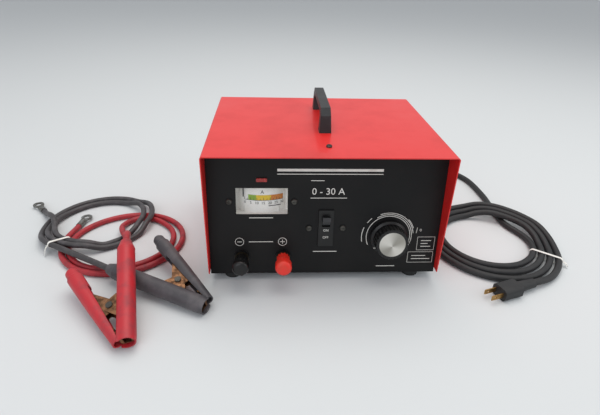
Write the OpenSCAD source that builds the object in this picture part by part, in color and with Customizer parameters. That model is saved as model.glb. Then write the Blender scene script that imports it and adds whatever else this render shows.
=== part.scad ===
// Battery charger: steel case with a leaning control panel, carrying handle, ammeter, breaker, current
// control, two output terminals, a coiled mains lead, and a loose pair of clamp leads.
// Millimetres. Front is -Y, +X is to the right, +Z is up. The origin is the centre of the feet's base.

/* [Case] */
// Width of the cover
cover_w = 290; // [270:1:330]
// Depth of the cover
cover_d = 236; // [220:1:280]
// Height of the cover's sides
cover_h = 157; // [150:1:190]
// Thickness of the case's sheet steel
sheet = 1.2; // [1:0.1:1.6]
// Outer radius of the cover's bends
bend_r = 3; // [2.5:0.5:6]
// How far the cover's lower edge stands above the base plate
cover_lift = 6; // [3:1:10]
// How far the panel's lower edge lies behind the cover's front edge
panel_recess = 9; // [7:1:14]
// How far the control panel leans back, in degrees
panel_lean = 7; // [4:0.5:9]
// How far the rear panel lies in front of the cover's rear edge
rear_recess = 9; // [5:1:14]

/* [Feet and handle] */
// Height of a rubber foot
foot_h = 11; // [8:1:16]
// Diameter of a rubber foot at its top
foot_d = 25; // [20:1:32]
// Distance of a foot's centre from the cover's side
foot_in_x = 28; // [24:1:50]
// Distance of a foot's centre from the cover's front or rear edge
foot_in_y = 25; // [24:1:50]
// Length of the handle over its legs
handle_len = 114; // [100:1:130]
// Height of the handle
handle_h = 30; // [28:1:45]
// Width of the handle's grip
handle_w = 12; // [11:1:20]
// Thickness of the handle's grip
handle_t = 7; // [5:1:9]
// Place of the handle's middle behind the cover's middle
handle_y = 17; // [10:1:25]

/* [Meter] */
// Width of the meter's window
meter_w = 62; // [56:1:66]
// Height of the meter's window
meter_h = 34; // [32:1:36]
// Radius of the meter's rounded scale
scale_r = 44; // [38:1:50]
// Swing of the meter's pointer, in degrees
pointer_swing = 60; // [40:1:66]

/* [Controls] */
// Diameter of the current knob's body
knob_d = 40; // [36:1:44]
// Height of the current knob
knob_h = 24; // [20:1:30]
// Diameter of the control shaft
shaft_d = 6; // [5:0.5:8]
// Width of the breaker's face
breaker_w = 18.6; // [17:0.1:20]
// Height of the breaker's face
breaker_h = 48; // [44:1:52]
// Angle of the breaker's toggle to each side, in degrees
toggle_tilt = 24; // [15:1:28]

/* [Output terminals] */
// Diameter of a terminal stud
stud_d = 8; // [6:1:10]
// Lift of the stud's thread in one turn
stud_pitch = 1.25; // [1:0.05:1.5]
// Turns that open a terminal
stud_turns = 2; // [1:1:4]
// Diameter of a terminal knob's round end
post_d = 20; // [18:0.5:24]
// Distance of the terminal knob's end from the panel
post_out = 35; // [32:1:40]

/* [Clamps] */
// Length of a clamp's fixed arm, without its boot
arm_len = 134; // [126:1:136]
// Diameter of the fixed arm's sleeve
arm_d = 21; // [20:0.2:21]
// Length of the moving arm
grip_len = 134; // [126:1:136]
// Diameter of the moving arm's sleeve at its handle end
grip_d = 18.5; // [16:0.5:19]
// Distance of the pivot from the jaws' tips
pivot_x = 50; // [48:1:54]
// Angle between the arms, in degrees
arm_angle = 26.5; // [25:0.5:28]

/* [Leads] */
// Diameter of the mains lead
mains_d = 9; // [8:0.1:9.4]
// Diameter of each output lead
lead_d = 8; // [7:0.1:8.2]
// Turns in the mains lead's coil
mains_turns = 3.27; // [2.27:1:3.27]

/* [Hidden] */
$fn = 48;

// Colours
red_paint = "#d4221f";
black_paint = "#1b1b1c";
black_plastic = "#242527";
zinc = "#b9bcc0";
rubber_black = "#2b2c2d";
red_plastic = "#e0402a";
red_vinyl = "#c22a36";
grey_vinyl = "#4c4a4d";
copper_tone = "#a9714f";
cord_black = "#2c2d2f";
tie_white = "#ecebe6";
lug_brass = "#b9a07a";

// Play and overlap lengths
eps = 0.01;
play = 0.3;
running = 0.05;

// Heights of the case
base_z = foot_h;
floor_z = base_z + sheet;
cover_z = base_z + cover_lift;
top_z = cover_z + cover_h;
roof_z = top_z - sheet;
inner_w = cover_w - 2 * sheet;
front_y = -cover_d / 2;
rear_y = cover_d / 2;

// The leaning panel: its lower front edge, its length up the slope and its upper edge
panel_y = front_y + panel_recess;
panel_len = (roof_z - base_z) / cos(panel_lean);
panel_top_y = panel_y + (roof_z - base_z) * tan(panel_lean);
panel_flange = 24;
cover_screw_y = front_y + 32.5;
rear_face_y = rear_y - rear_recess;
rear_flange = 16;
low_flange = 11;
side_flange = 26;

// Places on the panel, from the middle of its lower edge: across, then up the slope
meter_at = [66.5 - cover_w / 2, 98];
lamp_at = [meter_at[0], 125.5];
breaker_at = [0, 63];
knob_at = [cover_w / 2 - 66, 51];
black_post_at = [41 - cover_w / 2, 24.5];
red_post_at = [92.5 - cover_w / 2, 24.5];

// Screws
m4 = 4;
m5 = 5;
head_h = 2.4;
drill_over = 0.2;

// A frame on the panel: X across, Y up the slope, Z straight out of the face
module on_panel(at, out = 0) {
    translate([0, panel_y, base_z])
        rotate([90 - panel_lean, 0, 0])
            translate([at[0], at[1], out])
                children();
}

// A rectangle with round corners, centred
module round_rect(size, r) {
    square([size[0] - 2 * r, size[1]], center = true);
    square([size[0], size[1] - 2 * r], center = true);
    for (x = [-1, 1], y = [-1, 1])
        translate([x * (size[0] / 2 - r), y * (size[1] / 2 - r)])
            circle(r);
}

// A round-headed screw standing on the XY plane, its head upwards
module pan_screw(d, len) {
    difference() {
        union() {
            translate([0, 0, -len])
                cylinder(d = d, h = len + eps);
            cylinder(d = 2 * d - 1, h = head_h - 0.8);
            translate([0, 0, head_h - 0.8])
                cylinder(d1 = 2 * d - 1, d2 = 1.4 * d, h = 0.8);
        }
        for (a = [0, 90])
            rotate([0, 0, a])
                translate([-0.5 * d, -0.4, head_h - 1.2])
                    cube([d, 0.8, 1.3]);
    }
}

// ---------- Case ----------

foot_at = [
    for (x = [-1, 1], y = [-1, 1])
        [x * (cover_w / 2 - foot_in_x), y * (cover_d / 2 - foot_in_y)]
];
handle_foot = 16;
handle_screw_y = [for (s = [-1, 1]) handle_y + s * (handle_len / 2 - handle_foot / 2)];
side_screw_at = [for (s = [-1, 1]) [s * (cover_d / 2 - 40), cover_z + 10]];
rear_screw_y = rear_y - 19;

module base_tray() {
    tray_front = panel_y + sheet * 1.5;
    tray_rear = rear_face_y - sheet;
    color(black_paint)
        difference() {
            union() {
                translate([-inner_w / 2, tray_front, base_z])
                    cube([inner_w, tray_rear - tray_front, sheet]);
                for (s = [0, 1])
                    mirror([s, 0, 0])
                        translate([inner_w / 2 - sheet, front_y + 34, base_z])
                            cube([sheet, cover_d - 34 - 24, side_flange]);
            }
            for (p = foot_at)
                translate([p[0], p[1], base_z - eps])
                    cylinder(d = m5 + drill_over, h = sheet + 2 * eps);
            for (p = side_screw_at, s = [-1, 1])
                translate([s * inner_w / 2, p[0], p[1]])
                    rotate([0, 90, 0])
                        cylinder(d = m4 + drill_over, h = 4 * sheet, center = true);
            for (p = core_screw_at)
                translate([p[0], p[1], base_z - eps])
                    cylinder(d = m5 + drill_over, h = sheet + 2 * eps);
            for (i = [0:5])
                translate([40 - cover_w / 2 + 14 * i, -40, base_z - eps])
                    linear_extrude(sheet + 2 * eps)
                        round_rect([5, 50], 2.4);
        }
}

// A panel's upper corners are cut off, clear of the inside of the cover's bends
module bend_clearance() {
    for (s = [-1, 1])
        translate([s * inner_w / 2, 0, roof_z])
            rotate([0, 45, 0])
                cube([bend_r * sqrt(2), cover_d, bend_r * sqrt(2)], center = true);
}

module front_panel() {
    color(black_paint)
        difference() {
            union() {
                on_panel([0, panel_len / 2], -sheet / 2)
                    cube([inner_w - 2 * play, panel_len, sheet], center = true);
                translate([-inner_w / 2 + 6, panel_top_y, roof_z - sheet])
                    cube([inner_w - 12, panel_flange, sheet]);
                translate([-inner_w / 2 + 6, panel_y + 0.2, floor_z])
                    cube([inner_w - 12, low_flange, sheet]);
            }
            bend_clearance();
            // The slope's ends are cut level with the flanges
            translate([-cover_w / 2, front_y - 10, roof_z])
                cube([cover_w, 80, 10]);
            translate([-cover_w / 2, front_y - 10, base_z - 10])
                cube([cover_w, 40, 10]);
            translate([0, cover_screw_y, roof_z - 2 * sheet])
                cylinder(d = m4 + drill_over, h = 4 * sheet);
            on_panel(meter_at, -2 * sheet)
                linear_extrude(4 * sheet)
                    square([meter_w, meter_h], center = true);
            on_panel(meter_at, -2 * sheet)
                for (s = [-1, 1])
                    translate([s * meter_screw_x, 0, 0])
                        cylinder(d = m4 + drill_over, h = 4 * sheet);
            on_panel(lamp_at, -2 * sheet)
                linear_extrude(4 * sheet)
                    square([lamp_w, lamp_h], center = true);
            on_panel(breaker_at, -2 * sheet)
                linear_extrude(4 * sheet)
                    square([breaker_w + play, breaker_h + play], center = true);
            on_panel(breaker_at, -2 * sheet)
                for (s = [-1, 1])
                    translate([s * breaker_screw_x, 0, 0])
                        cylinder(d = m4 + drill_over, h = 4 * sheet);
            on_panel(knob_at, -2 * sheet)
                cylinder(d = bush_d, h = 4 * sheet);
            for (p = [black_post_at, red_post_at])
                on_panel(p, -2 * sheet)
                    cylinder(d = insulator_neck, h = 4 * sheet);
        }
}

vent_rows = 9;
vent_pitch = 9;
vent_len = 62;
gland_at = [100, 36];
gland_hole = 15;

module rear_panel() {
    color(black_paint)
        difference() {
            union() {
                translate([-inner_w / 2 + play, rear_face_y - sheet, base_z])
                    cube([inner_w - 2 * play, sheet, roof_z - base_z]);
                translate([-inner_w / 2 + 6, rear_face_y - rear_flange, roof_z - sheet])
                    cube([inner_w - 12, rear_flange, sheet]);
                translate([-inner_w / 2 + 6, rear_face_y - low_flange, floor_z])
                    cube([inner_w - 12, low_flange, sheet]);
            }
            bend_clearance();
            for (x = [-1, 1], i = [0:vent_rows - 1])
                translate([x * 52, rear_face_y - sheet / 2, 78 + vent_pitch * i])
                    rotate([90, 0, 0])
                        linear_extrude(2 * sheet, center = true)
                            round_rect([vent_len, 4], 1.9);
            translate([gland_at[0], rear_face_y - 2 * sheet, base_z + gland_at[1]])
                rotate([-90, 0, 0])
                    cylinder(d = gland_hole, h = 4 * sheet);
            translate([0, rear_screw_y, roof_z - 2 * sheet])
                cylinder(d = m4 + drill_over, h = 4 * sheet);
        }
}

// The cover's outline in the XZ plane, or its hollow, which is inset by a wall and runs past the open edge
module cover_outline(inset) {
    r = bend_r - inset;
    w = cover_w / 2 - inset;
    top = cover_h - inset;
    translate([-w, -inset])
        square([2 * w, top - r + inset]);
    translate([-w + r, 0])
        square([2 * (w - r), top]);
    for (s = [-1, 1])
        translate([s * (w - r), top - r])
            circle(r);
}

module cover() {
    color(red_paint)
        difference() {
            translate([0, rear_y, cover_z])
                rotate([90, 0, 0])
                    linear_extrude(cover_d)
                        difference() {
                            cover_outline(0);
                            cover_outline(sheet);
                        }
            for (y = [cover_screw_y, rear_screw_y])
                translate([0, y, roof_z - sheet])
                    cylinder(d = m4 + drill_over, h = 3 * sheet);
            for (y = handle_screw_y)
                translate([0, y, roof_z - sheet])
                    cylinder(d = m5 + drill_over, h = 3 * sheet);
            for (p = side_screw_at, s = [-1, 1])
                translate([s * inner_w / 2, p[0], p[1]])
                    rotate([0, 90, 0])
                        cylinder(d = m4 + drill_over, h = 4 * sheet, center = true);
        }
}

module cover_screws() {
    color(zinc) {
        for (y = [cover_screw_y, rear_screw_y])
            translate([0, y, top_z])
                pan_screw(m4, 8);
        for (p = side_screw_at, s = [-1, 1])
            translate([s * cover_w / 2, p[0], p[1]])
                rotate([0, s * 90, 0])
                    pan_screw(m4, 7);
    }
}

module rubber_feet() {
    color(rubber_black)
        for (p = foot_at)
            translate([p[0], p[1], 0])
                difference() {
                    cylinder(d1 = foot_d - 4, d2 = foot_d, h = foot_h);
                    translate([0, 0, -1])
                        cylinder(d = 11, h = foot_h - 3);
                    cylinder(d = m5 + drill_over, h = foot_h + 1);
                }
}

module foot_screws() {
    color(zinc)
        for (p = foot_at)
            translate([p[0], p[1], foot_h - 4])
                mirror([0, 0, 1])
                    pan_screw(m5, 10);
}

module handle() {
    leg_in = 3;
    corner = 9;
    color(black_plastic)
        translate([0, handle_y, top_z])
            difference() {
                intersection() {
                    rotate([90, 0, 90])
                        linear_extrude(handle_foot_w, center = true)
                            handle_side(leg_in, corner);
                    rotate([90, 0, 0])
                        linear_extrude(handle_len + 2, center = true)
                            polygon([
                                [-handle_foot_w / 2, 0],
                                [handle_foot_w / 2, 0],
                                [handle_w / 2, handle_h + eps],
                                [-handle_w / 2, handle_h + eps]
                            ]);
                }
                for (s = [-1, 1])
                    translate([0, s * (handle_len / 2 - handle_foot / 2), -eps])
                        cylinder(d = m5, h = 14);
            }
}

handle_foot_w = 15;

// The handle seen from the side: two legs, a bar and bevelled shoulders
module handle_side(leg_in, corner) {
    half = handle_len / 2;
    difference() {
        polygon([
            [-half, 0],
            [half, 0],
            [half - leg_in, handle_h - corner],
            [half - leg_in - corner * 0.7, handle_h],
            [-half + leg_in + corner * 0.7, handle_h],
            [-half + leg_in, handle_h - corner]
        ]);
        polygon([
            [-half + handle_foot, -eps],
            [half - handle_foot, -eps],
            [half - handle_foot + 2, handle_h - handle_t - 6],
            [half - handle_foot - 5, handle_h - handle_t],
            [-half + handle_foot + 5, handle_h - handle_t],
            [-half + handle_foot - 2, handle_h - handle_t - 6]
        ]);
    }
}

module handle_screws() {
    color(zinc)
        for (y = handle_screw_y)
            translate([0, y, roof_z])
                mirror([0, 0, 1])
                    pan_screw(m5, sheet + 12);
}

// ---------- Meter ----------

meter_screw_x = 39;
housing_wall = 2;
housing_w = 70;
housing_h = 40;
housing_depth = 64;
ear_w = 88;
window_t = 1.5;
dial_back = 8;
dial_t = 1.2;
dial_half = 28;
dial_high = meter_h / 2 - 1;
// The pointer's axis lies this far behind the panel's face
pointer_back = dial_back + scale_r;

module meter_housing() {
    front = -sheet;
    color(black_plastic)
        on_panel(meter_at, 0)
            difference() {
                union() {
                    translate([-housing_w / 2, -housing_h / 2, front - housing_depth])
                        cube([housing_w, housing_h, housing_depth]);
                    translate([-ear_w / 2, -6, front - 4])
                        cube([ear_w, 12, 4]);
                }
                translate([0, 0, front - housing_depth + housing_wall])
                    linear_extrude(housing_depth)
                        square([housing_w - 2 * housing_wall, housing_h - 2 * housing_wall], center = true);
                for (s = [-1, 1])
                    translate([s * meter_screw_x, 0, front - 5])
                        cylinder(d = m4, h = 6);
                // The seat of the pointer's lower pivot
                translate([0, -housing_h / 2 + 1, -pointer_back])
                    rotate([-90, 0, 0])
                        cylinder(d = 2 + 2 * running, h = 2);
            }
}

// A scale plate bent round the pointer's axis, carried on a block behind it
module meter_dial() {
    floor_y = -housing_h / 2 + housing_wall;
    color("#eceae4")
        on_panel(meter_at, -pointer_back)
            union() {
                translate([0, dial_high, 0])
                    rotate([90, 0, 0])
                        linear_extrude(dial_high - floor_y)
                            intersection() {
                                difference() {
                                    circle(scale_r, $fn = 96);
                                    circle(scale_r - dial_t, $fn = 96);
                                }
                                translate([-dial_half, 0])
                                    square([2 * dial_half, scale_r + 1]);
                            }
                // Two posts that stand the plate on the housing's floor
                for (s = [-1, 1])
                    translate([s * 18 - 3, floor_y, 26])
                        cube([6, 8, scale_r - 30]);
            }
}

module meter_pointer() {
    floor_y = -housing_h / 2;
    arm_y = dial_high + 0.8;
    color("#1a1a1a")
        on_panel(meter_at, -pointer_back)
            rotate([0, -pointer_swing / 2, 0])
                union() {
                    translate([0, floor_y + 1 + running, 0])
                        rotate([-90, 0, 0])
                            cylinder(d = 2, h = arm_y - floor_y - 1);
                    translate([0, -4, 0])
                        rotate([-90, 0, 0])
                            cylinder(d = 9, h = 8);
                    translate([-0.5, arm_y, 0])
                        cube([1, 1, scale_r + 2]);
                    translate([-0.5, arm_y - 15, scale_r + 1])
                        cube([1, 16, 1]);
                    translate([-2, arm_y, -9])
                        cube([4, 1, 10]);
                }
}

module meter_window() {
    clear_w = housing_w - 2 * housing_wall;
    clear_h = housing_h - 2 * housing_wall;
    color([0.85, 0.9, 0.92, 0.35])
        on_panel(meter_at, -sheet - window_t)
            linear_extrude(window_t)
                square([clear_w, clear_h], center = true);
}

module meter_screws() {
    color(zinc)
        for (s = [-1, 1])
            on_panel([meter_at[0] + s * meter_screw_x, meter_at[1]])
                pan_screw(m4, sheet + 4);
}

// ---------- Lamp and breaker ----------

lamp_w = 13;
lamp_h = 4.6;

module pilot_lamp() {
    color("#b3201c")
        on_panel(lamp_at) {
            translate([0, 0, -14])
                linear_extrude(14 + 1)
                    round_rect([lamp_w - 0.2, lamp_h - 0.2], 1);
            translate([0, 0, 1])
                intersection() {
                    linear_extrude(1.2)
                        round_rect([lamp_w - 0.2, lamp_h - 0.2], 1);
                    rotate([0, 90, 0])
                        cylinder(r = 2.4, h = lamp_w, center = true);
                }
        }
}

breaker_screw_x = 21;
breaker_proud = 2;
breaker_back = 58;
toggle_w = 9.6;
toggle_hub = 6.5;
toggle_axis = -3;
toggle_up = 9;
toggle_reach = 13;

module breaker_body() {
    slot_w = toggle_w + 2 * play;
    color(black_plastic)
        on_panel(breaker_at)
            difference() {
                union() {
                    translate([0, 0, -breaker_back])
                        linear_extrude(breaker_back + breaker_proud)
                            square([breaker_w, breaker_h], center = true);
                    translate([0, 0, -sheet - 5])
                        linear_extrude(5)
                            square([2 * breaker_screw_x + 10, 14], center = true);
                }
                for (s = [-1, 1])
                    translate([s * breaker_screw_x, 0, -sheet - 6])
                        cylinder(d = m4, h = 8);
                // The toggle's slot, round at the bottom
                translate([0, toggle_up, toggle_axis])
                    rotate([0, 90, 0])
                        cylinder(r = toggle_hub + play, h = slot_w, center = true);
                translate([0, toggle_up, breaker_proud])
                    cube([slot_w, 2 * toggle_hub + 2 * play, -2 * toggle_axis + 4], center = true);
                translate([0, toggle_up, toggle_axis])
                    rotate([0, 90, 0])
                        cylinder(r = 1.5 + running, h = breaker_w - 3, center = true);
            }
}

module breaker_toggle() {
    color("#2f3032")
        on_panel([breaker_at[0], breaker_at[1] + toggle_up], toggle_axis)
            rotate([-toggle_tilt, 0, 0])
                union() {
                    rotate([0, 90, 0])
                        cylinder(r = toggle_hub, h = toggle_w, center = true);
                    rotate([0, 90, 0])
                        cylinder(r = 1.5, h = breaker_w - 3.6, center = true);
                    translate([0, 0, toggle_reach / 2])
                        cube([toggle_w, 5, toggle_reach], center = true);
                }
}

module breaker_screws() {
    color(zinc)
        for (s = [-1, 1])
            on_panel([breaker_at[0] + s * breaker_screw_x, breaker_at[1]])
                pan_screw(m4, sheet + 5);
}

// ---------- Current control ----------

bush_d = 10;
switch_d = 54;
switch_depth = 34;
knob_seat = 2.5;
skirt_h = 6;
skirt_d = 46;
cap_d = 32;
cap_t = 1.2;
knob_flutes = 28;
shaft_top = 18.8;
shaft_back = -sheet - switch_depth + 6 + play;

module current_switch() {
    color("#6a4a2e")
        on_panel(knob_at, -sheet)
            difference() {
                union() {
                    translate([0, 0, -switch_depth])
                        cylinder(d = switch_d, h = switch_depth);
                    cylinder(d = bush_d - 0.1, h = sheet + 1);
                    for (a = [0:30:330])
                        rotate([0, 0, a])
                            translate([switch_d / 2 - 7, -2, -switch_depth - 8])
                                cube([1.5, 4, 8 + eps]);
                }
                translate([0, 0, -switch_depth + 6])
                    cylinder(d = shaft_d + 2 * running, h = switch_depth + 20);
            }
}

module control_shaft() {
    color(zinc)
        on_panel(knob_at, shaft_back)
            cylinder(d = shaft_d, h = shaft_top - shaft_back);
}

module current_knob() {
    color(black_plastic)
        on_panel(knob_at, knob_seat)
            difference() {
                union() {
                    cylinder(d = skirt_d, h = skirt_h - 2);
                    translate([0, 0, skirt_h - 2])
                        cylinder(d1 = skirt_d, d2 = knob_d + 1, h = 2);
                    translate([0, 0, 1])
                        linear_extrude(knob_h - knob_seat - 1)
                            difference() {
                                circle(d = knob_d);
                                for (i = [0:knob_flutes - 1])
                                    rotate(i * 360 / knob_flutes)
                                        translate([knob_d / 2 + 0.3, 0])
                                            circle(r = 1.3, $fn = 16);
                            }
                }
                translate([0, 0, -1])
                    cylinder(d = shaft_d, h = shaft_top - knob_seat + 1);
                translate([0, 0, knob_h - knob_seat - cap_t])
                    cylinder(d = cap_d, h = cap_t + 1);
            }
}

module knob_cap() {
    color("#c9cacb")
        on_panel(knob_at, knob_h - cap_t)
            cylinder(d = cap_d, h = cap_t);
}

// ---------- Output terminals ----------

insulator_neck = 12;
insulator_inner = 5;
collar_d = 18;
collar_h = 5;
washer_t = 1.5;
washer_d = 17;
stud_back = 24;
// The stud ends short of the bottom of its knob's bore by the knob's whole travel
stud_out = post_out - 5 - stud_turns * stud_pitch;
post_back_d = 16;
post_flutes = 12;
nut_w = 13;
nut_h = 6.5;
strap_t = 2;
strap_w = 16;

module terminal_insulators() {
    color("#1d1d1e")
        for (p = [black_post_at, red_post_at])
            on_panel(p)
                difference() {
                    union() {
                        cylinder(d = collar_d, h = collar_h);
                        translate([0, 0, -sheet - 2])
                            cylinder(d = insulator_neck - 0.2, h = sheet + 2 + eps);
                        translate([0, 0, -sheet - insulator_inner])
                            cylinder(d = collar_d, h = insulator_inner);
                    }
                    translate([0, 0, -sheet - 6])
                        cylinder(d = stud_d, h = collar_h + sheet + 8);
                }
}

module terminal_studs() {
    color("#b08d57")
        for (p = [black_post_at, red_post_at])
            on_panel(p, -stud_back)
                cylinder(d = stud_d, h = stud_back + stud_out);
}

module terminal_nuts() {
    color("#b08d57")
        for (p = [black_post_at, red_post_at])
            on_panel(p, -sheet - 5 - strap_t - nut_h)
                difference() {
                    cylinder(d = nut_w / cos(30), h = nut_h, $fn = 6);
                    translate([0, 0, -1])
                        cylinder(d = stud_d, h = nut_h + 2);
                }
}

// Copper straps from the studs up to the heatsink and the transformer
module output_straps() {
    drop = sheet + 5;
    color("#b87333")
        for (p = [black_post_at, red_post_at])
            on_panel(p, -drop - strap_t)
                difference() {
                    union() {
                        translate([-strap_w / 2, -strap_w / 2, 0])
                            cube([strap_w, 36, strap_t]);
                        translate([-strap_w / 2, 36 - strap_w / 2 - strap_t, -34])
                            cube([strap_w, strap_t, 34 + eps]);
                    }
                    translate([0, 0, -1])
                        cylinder(d = stud_d, h = strap_t + 2);
                }
}

module terminal_washer(at) {
    color("#b08d57")
        on_panel(at, collar_h)
            difference() {
                cylinder(d = washer_d, h = washer_t);
                translate([0, 0, -1])
                    cylinder(d = stud_d + 2 * running, h = washer_t + 2);
            }
}

// A fluted knob with a smooth domed end, threaded on its stud
module terminal_knob(at) {
    seat = collar_h + washer_t;
    len = post_out - seat;
    ribbed = len * 0.45;
    dome = 5;
    on_panel(at, seat)
        difference() {
            union() {
                linear_extrude(ribbed)
                    difference() {
                        circle(d = post_back_d);
                        for (i = [0:post_flutes - 1])
                            rotate(i * 360 / post_flutes)
                                translate([post_back_d / 2 + 0.4, 0])
                                    circle(r = 1.4, $fn = 16);
                    }
                translate([0, 0, ribbed])
                    rotate_extrude()
                        difference() {
                            polygon([
                                [0, 0], [post_back_d / 2 + 0.5, 0], [post_d / 2, 3],
                                [post_d / 2, len - ribbed], [0, len - ribbed]
                            ]);
                            difference() {
                                translate([post_d / 2 - dome, len - ribbed - dome])
                                    square(dome + 1);
                                translate([post_d / 2 - dome, len - ribbed - dome])
                                    circle(dome);
                            }
                        }
            }
            translate([0, 0, -1])
                cylinder(d = stud_d + 2 * running, h = len - 4);
        }
}

module black_terminal_washer() {
    terminal_washer(black_post_at);
}

module red_terminal_washer() {
    terminal_washer(red_post_at);
}

module black_terminal_knob() {
    color(black_plastic)
        terminal_knob(black_post_at);
}

module red_terminal_knob() {
    color(red_plastic)
        terminal_knob(red_post_at);
}

// ---------- Transformer and rectifier ----------

core_w = 100;
core_d = 50;
core_h = 84;
core_leg = 17;
core_at = [cover_w / 2 - 103, 40];
strap_steel = 1.5;
bracket_ear = 16;
winding_over = 15;
core_screw_at = [
    for (s = [-1, 1], y = [-1, 1])
        [core_at[0] + s * (core_w / 2 + strap_steel + bracket_ear / 2), core_at[1] + y * 14]
];

module core_frame() {
    translate([core_at[0], core_at[1], floor_z])
        children();
}

module transformer_core() {
    window_w = (core_w - 4 * core_leg) / 2;
    color("#4b4f55")
        core_frame()
            difference() {
                translate([-core_w / 2, -core_d / 2, 0])
                    cube([core_w, core_d, core_h]);
                for (s = [-1, 1])
                    translate([s * (core_leg + window_w / 2), 0, core_h / 2])
                        cube([window_w, core_d + 2, core_h - 2 * core_leg], center = true);
            }
}

module transformer_winding() {
    window_w = (core_w - 4 * core_leg) / 2;
    outer_w = 2 * (core_leg + window_w) - 2 * play;
    tall = core_h - 2 * core_leg - 2 * play;
    color("#8c5a2b")
        core_frame()
            translate([0, 0, core_h / 2 - tall / 2])
                linear_extrude(tall)
                    difference() {
                        round_rect([outer_w, core_d + 2 * winding_over], 8);
                        square([2 * core_leg + 2 * play, core_d + 2 * play], center = true);
                    }
}

module transformer_bracket() {
    color(zinc)
        core_frame()
            difference() {
                union() {
                    translate([-core_w / 2 - strap_steel, -20, 0])
                        cube([core_w + 2 * strap_steel, 40, core_h + strap_steel]);
                    translate([-core_w / 2 - strap_steel - bracket_ear, -20, 0])
                        cube([core_w + 2 * strap_steel + 2 * bracket_ear, 40, strap_steel]);
                }
                translate([-core_w / 2, -30, -1])
                    cube([core_w, 60, core_h + 1]);
                for (p = core_screw_at)
                    translate([p[0] - core_at[0], p[1] - core_at[1], -1])
                        cylinder(d = m5 + drill_over, h = 4);
            }
}

module transformer_screws() {
    color(zinc)
        for (p = core_screw_at)
            translate([p[0], p[1], floor_z + strap_steel])
                pan_screw(m5, 8);
}

sink_w = 84;
sink_h = 70;
sink_base = 5;
sink_fin = 20;
sink_fins = 9;
sink_at = [53 - cover_w / 2, 66];

// Aluminium heatsink standing on the tray, fins to the rear, with a foot
module heatsink() {
    color("#a9adb1")
        translate([sink_at[0], sink_at[1], floor_z])
            difference() {
                union() {
                    translate([-sink_w / 2, 0, 0])
                        cube([sink_w, sink_base, sink_h]);
                    for (i = [0:sink_fins - 1])
                        translate([-sink_w / 2 + i * (sink_w - 2.5) / (sink_fins - 1), sink_base - eps, 0])
                            cube([2.5, sink_fin, sink_h]);
                }
                for (x = [-1, 1])
                    translate([x * diode_x, -eps, sink_h * 0.6])
                        rotate([-90, 0, 0])
                            cylinder(d = 6, h = sink_base + 1);
            }
}

diode_x = 20;

module rectifier_diodes() {
    color("#c8b070")
        for (x = [-1, 1])
            translate([sink_at[0] + x * diode_x, sink_at[1], floor_z + sink_h * 0.6])
                rotate([90, 0, 0])
                    union() {
                        translate([0, 0, -sink_base])
                            cylinder(d = 6, h = sink_base + eps);
                        cylinder(d = 17 / cos(30), h = 5, $fn = 6);
                        cylinder(d = 14, h = 12);
                        cylinder(d = 4, h = 24);
                    }
}

// ---------- Cords: sweeping and measuring ----------

function unit(v) = v / norm(v);
function bump(x, flat, ramp) =
    let (u = min(1, max(0, (flat + ramp - abs(x)) / ramp)))
    u * u * (3 - 2 * u);
function turned(a) = a - 360 * round(a / 360);

// The tangent at each point of a route
function route_tangents(p) = [
    for (i = [0:len(p) - 1])
        unit(p[min(i + 1, len(p) - 1)] - p[max(i - 1, 0)])
];

// One ring of a tube: sides points round c, square to the tangent t
function tube_ring(c, t, r, sides) =
    let (side = unit(cross([0, 0, 1], t)), up = cross(t, side))
    [
        for (k = [0:sides - 1])
            let (a = 360 * (k + 0.5) / sides)
            c + r * (cos(a) * side + sin(a) * up)
    ];

// One closed tube along a route
module tube(p, d, sides) {
    t = route_tangents(p);
    n = len(p);
    rings = [for (i = [0:n - 1]) tube_ring(p[i], t[i], d / 2, sides)];
    points = [for (r = rings) each r];
    walls = [
        for (i = [0:n - 2], k = [0:sides - 1])
            let (
                a = i * sides + k,
                b = i * sides + (k + 1) % sides,
                c = a + sides,
                e = b + sides
            )
            each [[a, b, e], [a, e, c]]
    ];
    first = [for (k = [1:sides - 2]) [0, k + 1, k]];
    base = (n - 1) * sides;
    last = [for (k = [1:sides - 2]) [base, base + k, base + k + 1]];
    polyhedron(points = points, faces = concat(walls, first, last), convexity = 10);
}

// A route with one straight diameter added before its first point and after its last
function with_straight_ends(p, d, t0, t1) =
    concat([p[0] - t0 * d], p, [p[len(p) - 1] + t1 * d]);

// A route that runs on straight into a coil, and one that comes straight out of it
function into_coil(route, coil) = concat(route, [1.4 * coil[0] - 0.4 * coil[1], coil[0]]);
function out_of_coil(coil, route) =
    let (n = len(coil))
    concat([coil[n - 1], 1.4 * coil[n - 1] - 0.4 * coil[n - 2]], route);

// The least distance between points that lie well apart along a closed-up coil
function least_gap(p, apart, d) =
    min([
        for (i = [0:len(p) - 1 - apart])
            min([for (j = [i + apart:len(p) - 1]) norm(p[i] - p[j])])
    ]) - d;

function route_length(p) =
    [for (i = [1:len(p) - 1]) norm(p[i] - p[i - 1])] * [for (i = [1:len(p) - 1]) 1];

// The least distance in plan from a point to the segments of a route
function plan_distance(q, route) =
    min([
        for (i = [0:len(route) - 2])
            let (
                a = [route[i][0], route[i][1]],
                b = [route[i + 1][0], route[i + 1][1]],
                s = b - a,
                u = min(1, max(0, ((q - a) * s) / (s * s)))
            )
            norm(q - a - u * s)
    ]);

rings_per_turn = 24;

// ---------- Mains lead ----------

gland_z = base_z + gland_at[1];
boot_len = 28.4;
boot_root = 14;

// Route from inside the boot, down to the floor, round behind the case and forwards beside it
mains_route = [
    [100, 135.4, 47], [100, 146, 47], [102, 166, 43.5], [108, 190, 32], [121, 209, 20], [141, 224, 11],
    [164, 235, 6], [189, 241, 5], [214, 242, 5], [238, 238, 5], [260, 229, 5], [278, 215, 5],
    [291, 197, 5], [299, 176, 5], [302, 154, 5], [303, 130, 5], [303, 106, 5], [301, 82, 5],
    [299, 58, 5], [298, 38, 5], [299.5, 20, 5]
];

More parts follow.
